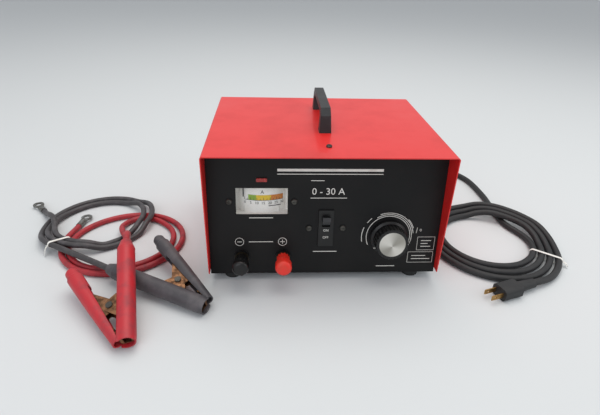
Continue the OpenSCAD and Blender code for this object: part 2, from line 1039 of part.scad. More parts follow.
// The coil: an oval that winds outwards, clockwise, from beside the route's end to the plug
coil_mid = [252, -27];
coil_a = 61;
coil_b = 60;
coil_step_x = 10;
coil_step_y = 14;
coil_from = 22;
mains_low = mains_d / 2 + 0.5;
mains_tie_at = -32;
plug_z = 8.5;
plug_rise = 0.05;

function mains_coil_at(k) =
    let (
        th = coil_from - 360 * k,
        over = k > 0.5 ? bump(turned(th - 42), 24, 36) : 0,
        tied = bump(turned(th - mains_tie_at), 14, 30),
        last = max(0, 1 - (mains_turns - k) / plug_rise),
        rise = last * last * (3 - 2 * last)
    )
    [
        coil_mid[0] + (coil_a + coil_step_x * k) * cos(th),
        coil_mid[1] + (coil_b + coil_step_y * k) * sin(th),
        mains_low + (mains_d + 0.7) * over + 1.2 * tied + (plug_z - mains_low) * rise
    ];

function mains_coil_route(per_turn) =
    let (n = round(mains_turns * per_turn))
    [for (i = [0:n]) mains_coil_at(i * mains_turns / n)];

function plan_unit(v) = unit([v[0], v[1], 0]);

mains_coil_line = mains_coil_route(rings_per_turn);
mains_coil_start = plan_unit(mains_coil_at(0.002) - mains_coil_at(0));
mains_coil_end = plan_unit(mains_coil_at(mains_turns) - mains_coil_at(mains_turns - 0.002));
mains_full = with_straight_ends(mains_coil_line, mains_d, mains_coil_start, mains_coil_end);
plug_face_at = mains_full[len(mains_full) - 1];

echo(mains_coil_least_gap = least_gap(mains_coil_route(72), 40, mains_d));
echo(mains_lead_length = route_length(mains_route) + route_length(mains_full));

module cord_gland() {
    color(black_plastic)
        translate([gland_at[0], rear_face_y, gland_z])
            rotate([-90, 0, 0])
                difference() {
                    union() {
                        cylinder(d = 24, h = 4);
                        translate([0, 0, -sheet - 6])
                            cylinder(d = gland_hole - 0.2, h = sheet + 6 + eps);
                        translate([0, 0, -sheet - 6])
                            cylinder(d = 20 / cos(30), h = 5.9, $fn = 6);
                        translate([0, 0, 4 - eps])
                            cylinder(d1 = boot_root + 2, d2 = mains_d + 2.4, h = boot_len);
                        for (i = [0:4])
                            translate([0, 0, 8 + 5 * i])
                                cylinder(d = boot_root + 2.4 - 0.7 * i, h = 2.4);
                    }
                    translate([0, 0, boot_len + 4 - 6])
                        cylinder(d = mains_d + 0.4, h = 10);
                }
}

// The lead starts inside the boot's mouth and ends against the coil
module mains_lead() {
    color(cord_black)
        tube(into_coil(mains_route, mains_full), mains_d, 10);
}

module mains_coil() {
    color(cord_black)
        tube(mains_full, mains_d, 6);
}

// A flat band round a bundle: its bore is wide by high, square to the heading
module band(at, heading, wide, high, band_w, band_t) {
    translate(at)
        rotate([90, 0, heading])
            linear_extrude(band_w, center = true)
                difference() {
                    round_rect([wide + 2 * band_t, high + 2 * band_t], high / 2 + band_t - 0.1);
                    round_rect([wide, high], high / 2 - 0.1);
                }
}

tie_w = 5;
tie_t = 0.9;
mains_tie_mid = mains_coil_at(1 + (coil_from - mains_tie_at) / 360) / 2
    + mains_coil_at(2 + (coil_from - mains_tie_at) / 360) / 2;

module mains_tie() {
    wide = 3 * sqrt(pow(coil_step_x * cos(mains_tie_at), 2) + pow(coil_step_y * sin(mains_tie_at), 2))
        + mains_d + 3;
    high = mains_d + 1;
    color(tie_white)
        band(mains_tie_mid, mains_tie_at - 6, wide, high, tie_w, tie_t);
}

plug_boot = 30;
plug_len = 25;
plug_w = 23;
plug_h = 16;
blade_len = 17;
blade_gap = 12.7;

// The plug's own frame: +X points the way its blades do
module plug_frame() {
    translate(plug_face_at)
        rotate([0, 0, atan2(mains_coil_end[1], mains_coil_end[0])])
            children();
}

module plug_body() {
    color(cord_black)
        plug_frame()
            difference() {
                union() {
                    rotate([0, 90, 0])
                        cylinder(d1 = mains_d + 3, d2 = plug_h - 1, h = plug_boot);
                    translate([plug_boot - 3, 0, 0])
                        rotate([90, 0, 90])
                            linear_extrude(plug_len + 3)
                                round_rect([plug_w, plug_h], 5);
                }
                for (s = [-1, 1])
                    translate([plug_boot + plug_len - 8, s * blade_gap / 2 - 0.75, -3.2])
                        cube([9, 1.5, 6.4]);
            }
}

module plug_blades() {
    color("#c9b98a")
        plug_frame()
            for (s = [-1, 1])
                difference() {
                    translate([plug_boot + plug_len - 8, s * blade_gap / 2 - 0.75, -3.2])
                        cube([8 + blade_len, 1.5, 6.4]);
                    translate([plug_boot + plug_len + 11.5, s * blade_gap / 2, 0])
                        rotate([90, 0, 0])
                            cylinder(d = 3, h = 4, center = true);
                }
}

// ---------- Output leads ----------

lead_low = lead_d / 2 + 0.3;
lead_layer = lead_d + 0.8;
tie_at = [-362, -58];
tie_lift = 1.4;

// Where each clamp lies: its fixed arm's mouth, heading, tilt and roll, and its moving arm's side
red_tip = [-217, -226, 11.8];
red_pose = [103.2, 14.2, -14];
red_side = 1;
black_tip = [-142, -171, 11];
black_pose = [153, 2.6, -12];
black_side = -1;
boot_d = 19;
clamp_boot = 10;
boot_seat = 5;

// A point on a clamp's fixed arm, at a distance from its mouth
function clamp_point(tip, pose, x) = [
    tip[0] + x * cos(pose[1]) * cos(pose[0]),
    tip[1] + x * cos(pose[1]) * sin(pose[0]),
    tip[2] + x * sin(pose[1])
];

// Routes of the leads' loose ends, from the lug to the coil and from the coil to the clamp
red_lug_route = [[-353, 24, 4.6], [-354, 14, 4.6], [-356, 2, 4.6], [-358, -11, 4.7]];
red_clamp_route = [
    [-246, 36.5, 4.3], [-254.5, 39.6, 4.3], [-263, 41, 4.3], [-272, 39.5, 4.3], [-280.5, 33.5, 4.4],
    [-286, 24, 5.2], [-287.5, 13, 7.6], [-285.5, 2, 10.6], [-281.5, -9, 13], [-276, -20.5, 14.6],
    [-270, -31, 16.8], [-265, -40, 21], [-261, -48.5, 28], [-257.5, -56.5, 36.8], [-254.5, -66, 44.6],
    [-251.9, -76.5, 48.4]
];
black_lug_route = [
    [-428, 69, 4.6], [-421, 61, 4.6], [-414, 52, 6.5], [-406, 42, 11], [-398, 32, 15.5], [-390, 22, 17],
    [-384.5, 12, 14.5]
];
black_clamp_route = [[-344, -59, 14.6], [-328, -69, 15], [-312, -79, 15.7], [-296, -89, 16.4]];

// An oval coil pulled out towards the tie: middle, inner radius, step a turn, angle to the tie, pull
function loop_at(mid, r0, step, th, k, tie_th, pull) =
    let (
        near = (1 + cos(th - tie_th)) / 2,
        r = r0 + k * (step + 4 * (1 - near)) + pull * near * near * near
    )
    [mid[0] + r * cos(th), mid[1] + r * sin(th)];

function near_tie(p) = bump(norm([p[0], p[1]] - tie_at), 14, 30);

// Red: from its lug, outermost first, then inwards; anticlockwise
red_mid = [-270, -20];
red_from = 190;
red_turns = 1.6;
red_r0 = 60;
red_step = 9;

function red_coil_at(k) =
    let (
        th = red_from + 360 * k,
        p = loop_at(red_mid, red_r0, red_step, th, red_turns - k, 202, 14)
    )
    [p[0], p[1], lead_low + tie_lift * near_tie(p)];

function red_coil_route(per_turn) =
    let (n = round(red_turns * per_turn))
    [for (i = [0:n]) red_coil_at(i * red_turns / n)];

red_line = red_coil_route(rings_per_turn);
red_start = plan_unit(red_coil_at(0.002) - red_coil_at(0));
red_end = plan_unit(red_coil_at(red_turns) - red_coil_at(red_turns - 0.002));
red_full = with_straight_ends(red_line, lead_d, red_start, red_end);
red_under = concat(red_lug_route, red_full, [for (i = [0:4]) red_clamp_route[i]]);

// Black: over the red one, innermost first, from its lug, anticlockwise, to its clamp
black_mid = [-322, 30];
black_from = 212;
black_turns = 2.08;
black_r0 = 54;
black_step = 9;

function drape(p) = lead_layer * bump(plan_distance(p, red_under), 19, 28);

function black_coil_at(k) =
    let (p = loop_at(black_mid, black_r0, black_step, black_from + 360 * k, k, 243, 15))
    [p[0], p[1], lead_low + tie_lift * near_tie(p) + drape(p)];

function black_coil_route(per_turn) =
    let (n = round(black_turns * per_turn))
    [for (i = [0:n]) black_coil_at(i * black_turns / n)];

black_line = black_coil_route(rings_per_turn);
black_start = unit(black_coil_at(0.002) - black_coil_at(0));
black_end = unit(black_coil_at(black_turns) - black_coil_at(black_turns - 0.002));
black_full = with_straight_ends(black_line, lead_d, black_start, black_end);

echo(red_coil_least_gap = least_gap(red_coil_route(72), 40, lead_d));
echo(black_coil_least_gap = least_gap(black_coil_route(72), 40, lead_d));
echo(black_over_red_gap = min([
    for (p = black_coil_route(72)) min([for (q = red_coil_route(72)) norm(p - q)])
]) - lead_d);

// The straight last diameter of a lead at a clamp's boot
function boot_ends(tip, pose) = [
    clamp_point(tip, pose, arm_len + clamp_boot - boot_seat + lead_d),
    clamp_point(tip, pose, arm_len + clamp_boot - boot_seat)
];

red_ends = [
    into_coil(red_lug_route, red_full),
    out_of_coil(red_full, concat(red_clamp_route, boot_ends(red_tip, red_pose)))
];
black_ends = [
    into_coil(black_lug_route, black_full),
    out_of_coil(black_full, concat(black_clamp_route, boot_ends(black_tip, black_pose)))
];
echo(red_lead_length = route_length(red_ends[0]) + route_length(red_full) + route_length(red_ends[1]));
echo(black_lead_length = route_length(black_ends[0]) + route_length(black_full)
    + route_length(black_ends[1]));

// Both loose ends of a lead, each one tube
module lead_ends(ends, tone) {
    color(tone)
        for (e = ends)
            tube(e, lead_d, 8);
}

module red_lead() {
    lead_ends(red_ends, red_vinyl);
}

module black_lead() {
    lead_ends(black_ends, grey_vinyl);
}

module red_lead_coil() {
    color(red_vinyl)
        tube(red_full, lead_d, 6);
}

module black_lead_coil() {
    color(grey_vinyl)
        tube(black_full, lead_d, 6);
}

leads_tie_w = 40;
leads_tie_h = 17.8;
leads_tie_turn = 35;
leads_tie_mid = [-355.8, -39.1, 9.85];

module leads_tie() {
    color(tie_white)
        band(leads_tie_mid, leads_tie_turn, leads_tie_w, leads_tie_h, tie_w, tie_t);
}

lead_bore = lead_d + 0.05;
lug_barrel = 14;
lug_d = 9;
lug_palm = 8;
lug_t = 2;

// A ring terminal at the near end of a route, crimped on the lead
module lug(route, tone) {
    back = route[0] - route[1];
    translate(route[0])
        rotate([0, 0, atan2(back[1], back[0])])
            difference() {
                union() {
                    translate([-0.5 * lug_barrel, 0, 0])
                        rotate([0, 90, 0])
                            difference() {
                                cylinder(d = lug_d, h = lug_barrel);
                                translate([0, 0, -1])
                                    cylinder(d = lead_bore, h = 0.5 * lug_barrel + 1);
                            }
                    translate([0.5 * lug_barrel - 1, -4.5, -lug_t / 2])
                        cube([9, 9, lug_t]);
                    translate([0.5 * lug_barrel + 12, 0, -lug_t / 2])
                        cylinder(r = lug_palm, h = lug_t);
                }
                translate([0.5 * lug_barrel + 12, 0, -lug_t])
                    cylinder(d = stud_d + 0.4, h = 2 * lug_t);
            }
}

module red_lug() {
    color(lug_brass)
        lug(red_lug_route);
}

module black_lug() {
    color(lug_brass)
        lug(black_lug_route);
}

// ---------- Clamps ----------

// A clamp's own frame: the fixed arm along +X from its mouth, the moving arm on the +Y side
module clamp_frame(tip, pose, side) {
    translate(tip)
        rotate([0, 0, pose[0]])
            rotate([0, -pose[1], 0])
                rotate([pose[2], 0, 0])
                    mirror([0, side < 0 ? 1 : 0, 0])
                        children();
}

sleeve_wall = 2;
slot_w = 13;
slot_end = 92;
jaw_plate = 1.2;
jaw_half = 5.6;
lug_play = 0.2;
pivot_y = 16.5;
pin_d = 5;
tip_d = 12;
moving_y = 8.5;
nose_x = 8;
nose_len = 12;
teeth = 5;
tooth_pitch = 3;
spring_wire = 1.2;
spring_d = 9.2;
spring_curls = 3;

// The moving arm's axis starts at the fixed arm's mouth, its tip in the slot of the fixed sleeve
module on_moving_arm() {
    translate([2, moving_y, 0])
        rotate([0, 0, arm_angle])
            children();
}

// A bar turned about +X from a profile of [radius, distance] points
module turned_bar(profile) {
    rotate([0, 90, 0])
        rotate_extrude()
            polygon(profile);
}

// Vinyl sleeve of the fixed arm: open mouth, slot towards the other arm, boot for the lead
module fixed_sleeve() {
    bore = arm_d / 2 - sleeve_wall;
    end = arm_len + clamp_boot;
    difference() {
        turned_bar([
            [0, 0], [arm_d / 2 - 0.5, 0], [arm_d / 2, 6], [arm_d / 2, arm_len - 3], [boot_d / 2, arm_len],
            [boot_d / 2 - 3, end], [0, end]
        ]);
        turned_bar([[0, -1], [bore, -1], [bore, arm_len - 13], [0, arm_len - 13]]);
        turned_bar([
            [0, end - boot_seat], [lead_bore / 2, end - boot_seat], [lead_bore / 2, end + 1], [0, end + 1]
        ]);
        translate([-1, 0, -slot_w / 2])
            cube([slot_end, arm_d, slot_w]);
    }
}

// A toothed rail of a jaw, teeth towards +Y
module jaw_teeth(side) {
    linear_extrude(2 * jaw_half - 2 * jaw_plate, center = true)
        polygon(concat(
            [[0, -side * 3]],
            [
                for (i = [0:teeth - 1], p = [0, 1])
                    [i * tooth_pitch + p * tooth_pitch / 2, side * (p == 0 ? 0 : 1.6)]
            ],
            [[teeth * tooth_pitch, 0], [teeth * tooth_pitch, -side * 3]]
        ));
}

// Copper jaw of the fixed arm: a channel with two ears that hold the pivot pin
module fixed_jaw() {
    half = jaw_half;
    back = -arm_d / 2 + sleeve_wall + 2.2;
    difference() {
        union() {
            translate([3, back, -half])
                cube([arm_len - 20, jaw_plate, 2 * half]);
            for (s = [-1, 1])
                translate([0, 0, s * (half - jaw_plate / 2) - jaw_plate / 2])
                    linear_extrude(jaw_plate)
                        polygon([
                            [3, back], [arm_len - 40, back], [arm_len - 40, 3], [pivot_x + 16, 6],
                            [pivot_x + 6, pivot_y + 4.5], [pivot_x - 6, pivot_y + 4.5],
                            [pivot_x - 18, 6], [3, 6]
                        ]);
            translate([3, 6, 0])
                jaw_teeth(1);
        }
        translate([pivot_x, pivot_y, -2 * half])
            cylinder(d = pin_d, h = 4 * half);
    }
}

// The moving jaw seen along the pivot: plate, ears and toothed nose
module moving_jaw_side() {
    polygon([
        moving_point(nose_x, jaw_plate), moving_point(nose_x, -1.6), moving_point(nose_x + 3, -4.2),
        moving_point(nose_x + 6, -3), moving_point(nose_x + 9, -5), moving_point(nose_x + nose_len, -2.6),
        moving_point(nose_x + nose_len, -0.2), moving_point(pivot_x - 12, -3),
        [pivot_x - 6, pivot_y - 4.5], [pivot_x + 6, pivot_y - 4.5],
        moving_point(pivot_x + 34, -3), moving_point(pivot_x + 34, 0),
        moving_point(grip_len - 22, 0), moving_point(grip_len - 22, jaw_plate)
    ]);
}

// Copper jaw of the moving arm: its ears lie inside the fixed ones and turn on the pin
module moving_jaw() {
    half = jaw_half - jaw_plate - lug_play;
    difference() {
        linear_extrude(2 * half, center = true)
            moving_jaw_side();
        linear_extrude(2 * half - 2 * jaw_plate, center = true)
            polygon([
                moving_point(nose_x + nose_len + 1, 0), moving_point(nose_x + nose_len + 1, -60),
                moving_point(grip_len, -60), moving_point(grip_len, 0)
            ]);
        translate([pivot_x, pivot_y, -2 * half])
            cylinder(d = pin_d + 2 * running, h = 4 * half);
    }
}

// A point of the moving arm in the clamp's frame
function moving_point(x, y) = [
    2 + x * cos(arm_angle) - y * sin(arm_angle),
    moving_y + x * sin(arm_angle) + y * cos(arm_angle)
];

module moving_sleeve() {
    grip_bore = grip_d / 2 - 1 - sleeve_wall;
    r = grip_d / 2;
    on_moving_arm()
        difference() {
            turned_bar([
                [0, 0], [tip_d / 2, 0], [r - 1, 60], [r, 110], [r, grip_len - 16], [r - 1.5, grip_len - 14],
                [r - 2, grip_len - 4], [r - 4.5, grip_len], [0, grip_len]
            ]);
            turned_bar([
                [0, -1], [tip_d / 2 - 1.5, -1], [grip_bore, 60],
                [grip_bore, grip_len - 20], [0, grip_len - 20]
            ]);
            translate([-1, -grip_d, -slot_w / 2 + 1])
                cube([slot_end + 1, grip_d, slot_w - 2]);
        }
}

module pivot_pin() {
    translate([pivot_x, pivot_y, -jaw_half - 1.5])
        cylinder(d = pin_d, h = 2 * jaw_half + 3);
    for (s = [0, 1])
        mirror([0, 0, s])
            translate([pivot_x, pivot_y, jaw_half])
                cylinder(d = pin_d + 3, h = 1.5);
}

// Torsion spring round the pin: curls of one wire with a leg towards each arm
module torsion_spring() {
    r = spring_d / 2;
    rise = spring_wire + 0.3;
    curl = [
        for (i = [0:8 * spring_curls])
            let (a = 200 + 45 * i)
            [pivot_x + r * cos(a), pivot_y + r * sin(a), (i / 8 - spring_curls / 2) * rise]
    ];
    first = curl[0];
    last = curl[len(curl) - 1];
    upper_leg = [first + [4, 15.8, 0], first + [1.5, 11, 0], first + [-0.6, 5.5, 0]];
    lower_leg = [last + [2.5, -6, 0], last + [7, -12.5, 0], last + [14, -19, 0]];
    tube(concat(upper_leg, curl, lower_leg), spring_wire, 6);
}

module black_fixed_jaw() {
    color(copper_tone)
        clamp_frame(black_tip, black_pose, black_side)
            fixed_jaw();
}

module black_fixed_sleeve() {
    color(grey_vinyl)
        clamp_frame(black_tip, black_pose, black_side)
            fixed_sleeve();
}

module black_moving_jaw() {
    color(copper_tone)
        clamp_frame(black_tip, black_pose, black_side)
            moving_jaw();
}

module black_moving_sleeve() {
    color(grey_vinyl)
        clamp_frame(black_tip, black_pose, black_side)
            moving_sleeve();
}

module red_fixed_jaw() {
    color(copper_tone)
        clamp_frame(red_tip, red_pose, red_side)
            fixed_jaw();
}

module red_fixed_sleeve() {
    color(red_vinyl)
        clamp_frame(red_tip, red_pose, red_side)
            fixed_sleeve();
}

module red_moving_jaw() {
    color(copper_tone)
        clamp_frame(red_tip, red_pose, red_side)
            moving_jaw();
}

module red_moving_sleeve() {
    color(red_vinyl)
        clamp_frame(red_tip, red_pose, red_side)
            moving_sleeve();
}

module clamp_pivot_pins() {
    color(zinc) {
        clamp_frame(black_tip, black_pose, black_side)
            pivot_pin();
        clamp_frame(red_tip, red_pose, red_side)
            pivot_pin();
    }
}

module clamp_springs() {
    color("#7d7f82") {
        clamp_frame(black_tip, black_pose, black_side)
            torsion_spring();
        clamp_frame(red_tip, red_pose, red_side)
            torsion_spring();
    }
}

base_tray();
front_panel();
rear_panel();
cover();
cover_screws();
rubber_feet();
foot_screws();
handle();
handle_screws();
meter_housing();
meter_dial();
meter_pointer();
meter_window();
meter_screws();
pilot_lamp();
breaker_body();
breaker_toggle();
breaker_screws();
current_switch();
control_shaft();
current_knob();
knob_cap();
terminal_insulators();
terminal_studs();
terminal_nuts();
output_straps();
black_terminal_washer();
black_terminal_knob();
red_terminal_washer();
red_terminal_knob();
transformer_core();
transformer_winding();
transformer_bracket();
transformer_screws();
heatsink();
rectifier_diodes();
cord_gland();
mains_lead();
mains_coil();
mains_tie();
plug_body();
plug_blades();
black_lug();
black_lead();
black_lead_coil();
red_lug();
red_lead();
red_lead_coil();
leads_tie();
black_fixed_jaw();
black_fixed_sleeve();
black_moving_jaw();
black_moving_sleeve();
red_fixed_jaw();
red_fixed_sleeve();
red_moving_jaw();
red_moving_sleeve();
clamp_pivot_pins();
clamp_springs();
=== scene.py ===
"""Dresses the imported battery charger: its cords, printed legends, meter scale, ties, springs and finishes.

Lengths in the classes are millimetres unless a name ends in _m. Front is -Y, +X is to the right, +Z is up.
"""

import logging
import math
from collections.abc import Callable
from dataclasses import dataclass, field
from enum import Enum

import bmesh
import bpy
import numpy as np
from mathutils import Matrix

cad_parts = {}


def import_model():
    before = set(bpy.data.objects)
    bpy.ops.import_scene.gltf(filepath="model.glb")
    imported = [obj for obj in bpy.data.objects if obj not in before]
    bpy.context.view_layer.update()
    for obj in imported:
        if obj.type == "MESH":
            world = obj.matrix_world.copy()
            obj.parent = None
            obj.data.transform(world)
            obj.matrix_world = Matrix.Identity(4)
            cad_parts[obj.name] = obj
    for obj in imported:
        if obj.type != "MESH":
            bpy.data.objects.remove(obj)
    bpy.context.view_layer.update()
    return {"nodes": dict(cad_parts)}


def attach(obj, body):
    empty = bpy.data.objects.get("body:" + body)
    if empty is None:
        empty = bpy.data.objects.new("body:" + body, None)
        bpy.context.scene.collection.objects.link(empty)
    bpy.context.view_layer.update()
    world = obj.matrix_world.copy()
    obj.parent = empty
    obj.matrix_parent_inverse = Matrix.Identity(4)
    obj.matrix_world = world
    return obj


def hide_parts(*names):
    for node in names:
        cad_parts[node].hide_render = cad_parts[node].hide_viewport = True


log = logging.getLogger("charger")
Array = np.ndarray
# Points and the faces between them
Shape = tuple[np.ndarray, list]
MM = 0.001


# ---------- Colour and node helpers ----------


def linear(hex_colour: str) -> tuple[float, float, float, float]:
    """Turns an sRGB hex colour into linear RGBA.

    Args:
        hex_colour: a colour such as "#d4221f".

    Returns:
        Linear red, green, blue and an alpha of 1.
    """
    channels = [int(hex_colour[i : i + 2], 16) / 255 for i in (1, 3, 5)]
    low = [c / 12.92 if c <= 0.04045 else ((c + 0.055) / 1.055) ** 2.4 for c in channels]
    return (low[0], low[1], low[2], 1.0)


def add_node(tree: bpy.types.NodeTree, kind: str, links: dict | None = None, **values) -> bpy.types.Node:
    """Adds one node, sets its values and joins its inputs.

    Args:
        tree: the node tree that takes it.
        kind: the node's type name.
        links: input name or number to the output socket that feeds it.
        **values: a property of the node, or the name of an input, to its value.

    Returns:
        The new node.
    """
    node = tree.nodes.new(kind)
    for name, value in values.items():
        if hasattr(node, name):
            setattr(node, name, value)
        else:
            node.inputs[name.replace("_", " ")].default_value = value
    for key, socket in (links or {}).items():
        tree.links.new(node.inputs[key], socket)
    return node


def material_named(name: str) -> tuple[bpy.types.Material, bool]:
    """Finds a material, or makes it with an empty node tree.

    Args:
        name: the material's name.

    Returns:
        The material, and whether it is new.
    """
    known = bpy.data.materials.get(name)
    if known is not None:
        return known, False
    made = bpy.data.materials.new(name)
    made.use_nodes = True
    made.node_tree.nodes.clear()
    return made, True


# ---------- Finishes ----------

# A brushed pattern is drawn out along X by the inverse of this
STREAK = 0.06
# Once round a cord takes this much of its pattern, in metres
AROUND_CORD = 0.02
# Pairs of light and dark wedges on a turned face, a painted highlight and painted shade in its colour
PAINTED_WEDGE_PAIRS = 2
# Distance between the rings of a ring texture of scale 1
RING_SPACING = 0.314


class Pattern(Enum):
    """How a finish varies over its surface."""

    GRAIN = "fine even grain"
    BRUSHED = "long streaks along one axis"
    SPUN = "rings turned about an axis"
    CORD = "streaks along a cord's own length"


@dataclass(frozen=True)
class Finish:
    """One real material and the process that made its surface.

    Attributes:
        name: the material's name.
        colour: main colour, sRGB hex; on a turned finish, the painted highlight of its light wedges.
        tint: the colour that it drifts to in places, sRGB hex; on a turned finish, the painted shade of its dark
            wedges.
        rough: roughness in the clean places.
        rough_far: roughness in the dull places.
        metal: 1 for bare metal.
        pattern: the kind of variation.
        drift_mm: size of the patches of the second colour.
        grain_mm: size of the fine grain.
        depth_mm: height of the fine grain.
        coat: strength of a clear coat.
        specular: strength of the mirror-like part, 0.5 for a plain dielectric.
        turn_deg: turns the pattern, so that it follows a leaning part.
        centre_m: where a turned pattern has its axis.
        share: how much of the surface drifts to the second colour.
    """

    name: str
    colour: str
    tint: str
    rough: float = 0.5
    rough_far: float = 0.6
    metal: float = 0.0
    pattern: Pattern = Pattern.GRAIN
    drift_mm: float = 60.0
    grain_mm: float = 0.6
    depth_mm: float = 0.01
    coat: float = 0.0
    specular: float = 0.5
    turn_deg: tuple[float, float, float] = (0.0, 0.0, 0.0)
    centre_m: tuple[float, float, float] = (0.0, 0.0, 0.0)
    share: float = 0.5

    def _coordinates(self, tree: bpy.types.NodeTree) -> bpy.types.NodeSocket:
        """Centres and turns the object's own coordinates.

        Args:
            tree: the material's tree.

        Returns:
            The socket with the pattern's coordinates, in metres.
        """
        source = add_node(tree, "ShaderNodeTexCoord")
        if self.pattern is Pattern.CORD:
            along = {"Vector": source.outputs["UV"]}
            return add_node(tree, "ShaderNodeMapping", along, Scale=(AROUND_CORD, 1.0, 1.0)).outputs[0]
        centred = add_node(
            tree, "ShaderNodeMapping", {"Vector": source.outputs["Object"]}, vector_type="TEXTURE",
            Location=self.centre_m, Rotation=tuple(math.radians(a) for a in self.turn_deg),
        )
        if self.pattern is Pattern.BRUSHED:
            streaked = {"Vector": centred.outputs[0]}
            return add_node(tree, "ShaderNodeMapping", streaked, Scale=(STREAK, 1.0, 1.0)).outputs[0]
        return centred.outputs[0]

    def _painted_highlight_wedges(self, tree: bpy.types.NodeTree, place: bpy.types.NodeSocket) -> bpy.types.Node:
        """Painted highlight and painted shade: light and dark wedges of colour round the turned axis, standing in for
        those that fine turning rings throw under soft lamps.

        Args:
            tree: the material's tree.
            place: the pattern's coordinates.

        Returns:
            A node whose first output is 0 in the painted highlight wedges and 1 in the painted shade ones.
        """
        round_it = add_node(tree, "ShaderNodeTexGradient", {"Vector": place}, gradient_type="RADIAL")
        angle = add_node(tree, "ShaderNodeMath", {0: round_it.outputs["Fac"]}, operation="MULTIPLY")
        angle.inputs[1].default_value = PAINTED_WEDGE_PAIRS * 2 * math.pi
        wave = add_node(tree, "ShaderNodeMath", {0: angle.outputs[0]}, operation="SINE")
        return add_node(tree, "ShaderNodeMapRange", {"Value": wave.outputs[0]}, From_Min=-0.9, From_Max=0.9)

    def _grain(self, tree: bpy.types.NodeTree, place: bpy.types.NodeSocket) -> bpy.types.Node:
        """The fine height pattern: rings for a turned part, even noise for the rest.

        Args:
            tree: the material's tree.
            place: the pattern's coordinates.

        Returns:
            A node with a "Fac" output.
        """
        if self.pattern is Pattern.SPUN:
            return add_node(
                tree, "ShaderNodeTexWave", {"Vector": place}, wave_type="RINGS", rings_direction="Z",
                Scale=RING_SPACING / (self.grain_mm * MM), Distortion=0.6, Detail=2.0,
            )
        return add_node(tree, "ShaderNodeTexNoise", {"Vector": place}, Scale=1 / (self.grain_mm * MM), Detail=2.0)

    def material(self) -> bpy.types.Material:
        """Builds the material once: patches of the second colour, dull patches and a fine bump; a turned finish has
        painted highlight and painted shade wedges in place of the colour patches.

        Returns:
            The material.
        """
        made, fresh = material_named(self.name)
        if not fresh:
            return made
        tree = made.node_tree
        place = self._coordinates(tree)
        drift = add_node(
            tree, "ShaderNodeTexNoise", {"Vector": place}, Scale=1 / (self.drift_mm * MM), Detail=5.0, Roughness=0.6
        )
        by_drift = {"Value": drift.outputs["Fac"]}
        low, high = (edge - 0.3 * self.share for edge in (0.62, 0.82))
        spread = add_node(tree, "ShaderNodeMapRange", by_drift, From_Min=low, From_Max=high)
        # A turned finish mixes its two colours by painted highlight and painted shade wedges instead
        if self.pattern is Pattern.SPUN:
            spread = self._painted_highlight_wedges(tree, place)
        mixed = add_node(tree, "ShaderNodeMix", {"Factor": spread.outputs[0]}, data_type="RGBA")
        mixed.inputs[6].default_value = linear(self.colour)
        mixed.inputs[7].default_value = linear(self.tint)
        dull = add_node(
            tree, "ShaderNodeMapRange", by_drift, From_Min=0.3, From_Max=0.7, To_Min=self.rough, To_Max=self.rough_far
        )
        height = {"Height": self._grain(tree, place).outputs["Fac"]}
        bump = add_node(tree, "ShaderNodeBump", height, Distance=self.depth_mm * MM, Strength=1.0)
        shader = add_node(
            tree, "ShaderNodeBsdfPrincipled",
            {"Base Color": mixed.outputs[2], "Roughness": dull.outputs[0], "Normal": bump.outputs[0]},
            Metallic=self.metal, Coat_Weight=self.coat, Specular_IOR_Level=self.specular,
        )
        add_node(tree, "ShaderNodeOutputMaterial", {"Surface": shader.outputs[0]})
        made.diffuse_color = linear(self.colour)
        return made


@dataclass(frozen=True)
class ClearFinish:
    """Clear cast acrylic, such as a meter's window: thin, glossy, nearly colourless.

    Attributes:
        name: the material's name.
        colour: its faint tint, sRGB hex.
    """

    name: str
    colour: str

    def material(self) -> bpy.types.Material:
        """Builds a mostly see-through glossy sheet.

        Returns:
            The material.
        """
        made, fresh = material_named(self.name)
        if not fresh:
            return made
        tree = made.node_tree
        place = add_node(tree, "ShaderNodeTexCoord").outputs["Object"]
        dust = add_node(tree, "ShaderNodeTexNoise", {"Vector": place}, Scale=900.0, Detail=3.0)
        film = add_node(tree, "ShaderNodeMapRange", {"Value": dust.outputs["Fac"]}, To_Min=0.01, To_Max=0.03)
        shader = add_node(
            tree, "ShaderNodeBsdfPrincipled", {"Alpha": film.outputs[0]}, Base_Color=linear(self.colour),
            Roughness=0.05,
        )
        add_node(tree, "ShaderNodeOutputMaterial", {"Surface": shader.outputs[0]})
        return made


LEAN = 7.0
PANEL_TURN = (90.0 - LEAN, 0.0, 0.0)

# Baked enamel on rolled steel: bright red, a little orange peel, faint dust
RED_PAINT = Finish(
    "red_enamel", "#d8211f", "#cb1f1c", 0.34, 0.5, grain_mm=2.2, depth_mm=0.012, coat=0.25, drift_mm=90
)
# Satin black enamel, silk-screened later, on the panels and the tray
BLACK_PAINT = Finish(
    "black_enamel", "#0c0c0d", "#141313", 0.42, 0.54, grain_mm=1.1, depth_mm=0.01, drift_mm=70, specular=0.25
)
# Zinc-plated steel screws, darkened with age
DARK_ZINC = Finish("dark_zinc", "#5c5b57", "#3d3a36", 0.38, 0.6, metal=1.0, drift_mm=5, grain_mm=0.3)
# Bright zinc-plated strip and spindle steel
ZINC = Finish("bright_zinc", "#b9bcc0", "#9a9da0", 0.3, 0.45, metal=1.0, drift_mm=18, grain_mm=0.4)
# Moulded natural rubber feet
RUBBER = Finish("foot_rubber", "#232424", "#2e2f2f", 0.75, 0.9, drift_mm=14, grain_mm=0.5, depth_mm=0.02)
# Injection-moulded nylon with a spark-eroded grain; its lighter grey patches, spread at random, are a painted sheen
HANDLE_NYLON = Finish("grained_nylon", "#1d1f21", "#303336", 0.42, 0.6, drift_mm=22, grain_mm=0.7, depth_mm=0.05)
# Compression-moulded phenolic knobs and housings
PHENOLIC = Finish(
    "black_phenolic", "#0e0e0f", "#171717", 0.26, 0.42, drift_mm=16, grain_mm=0.5, depth_mm=0.008, specular=0.4
)
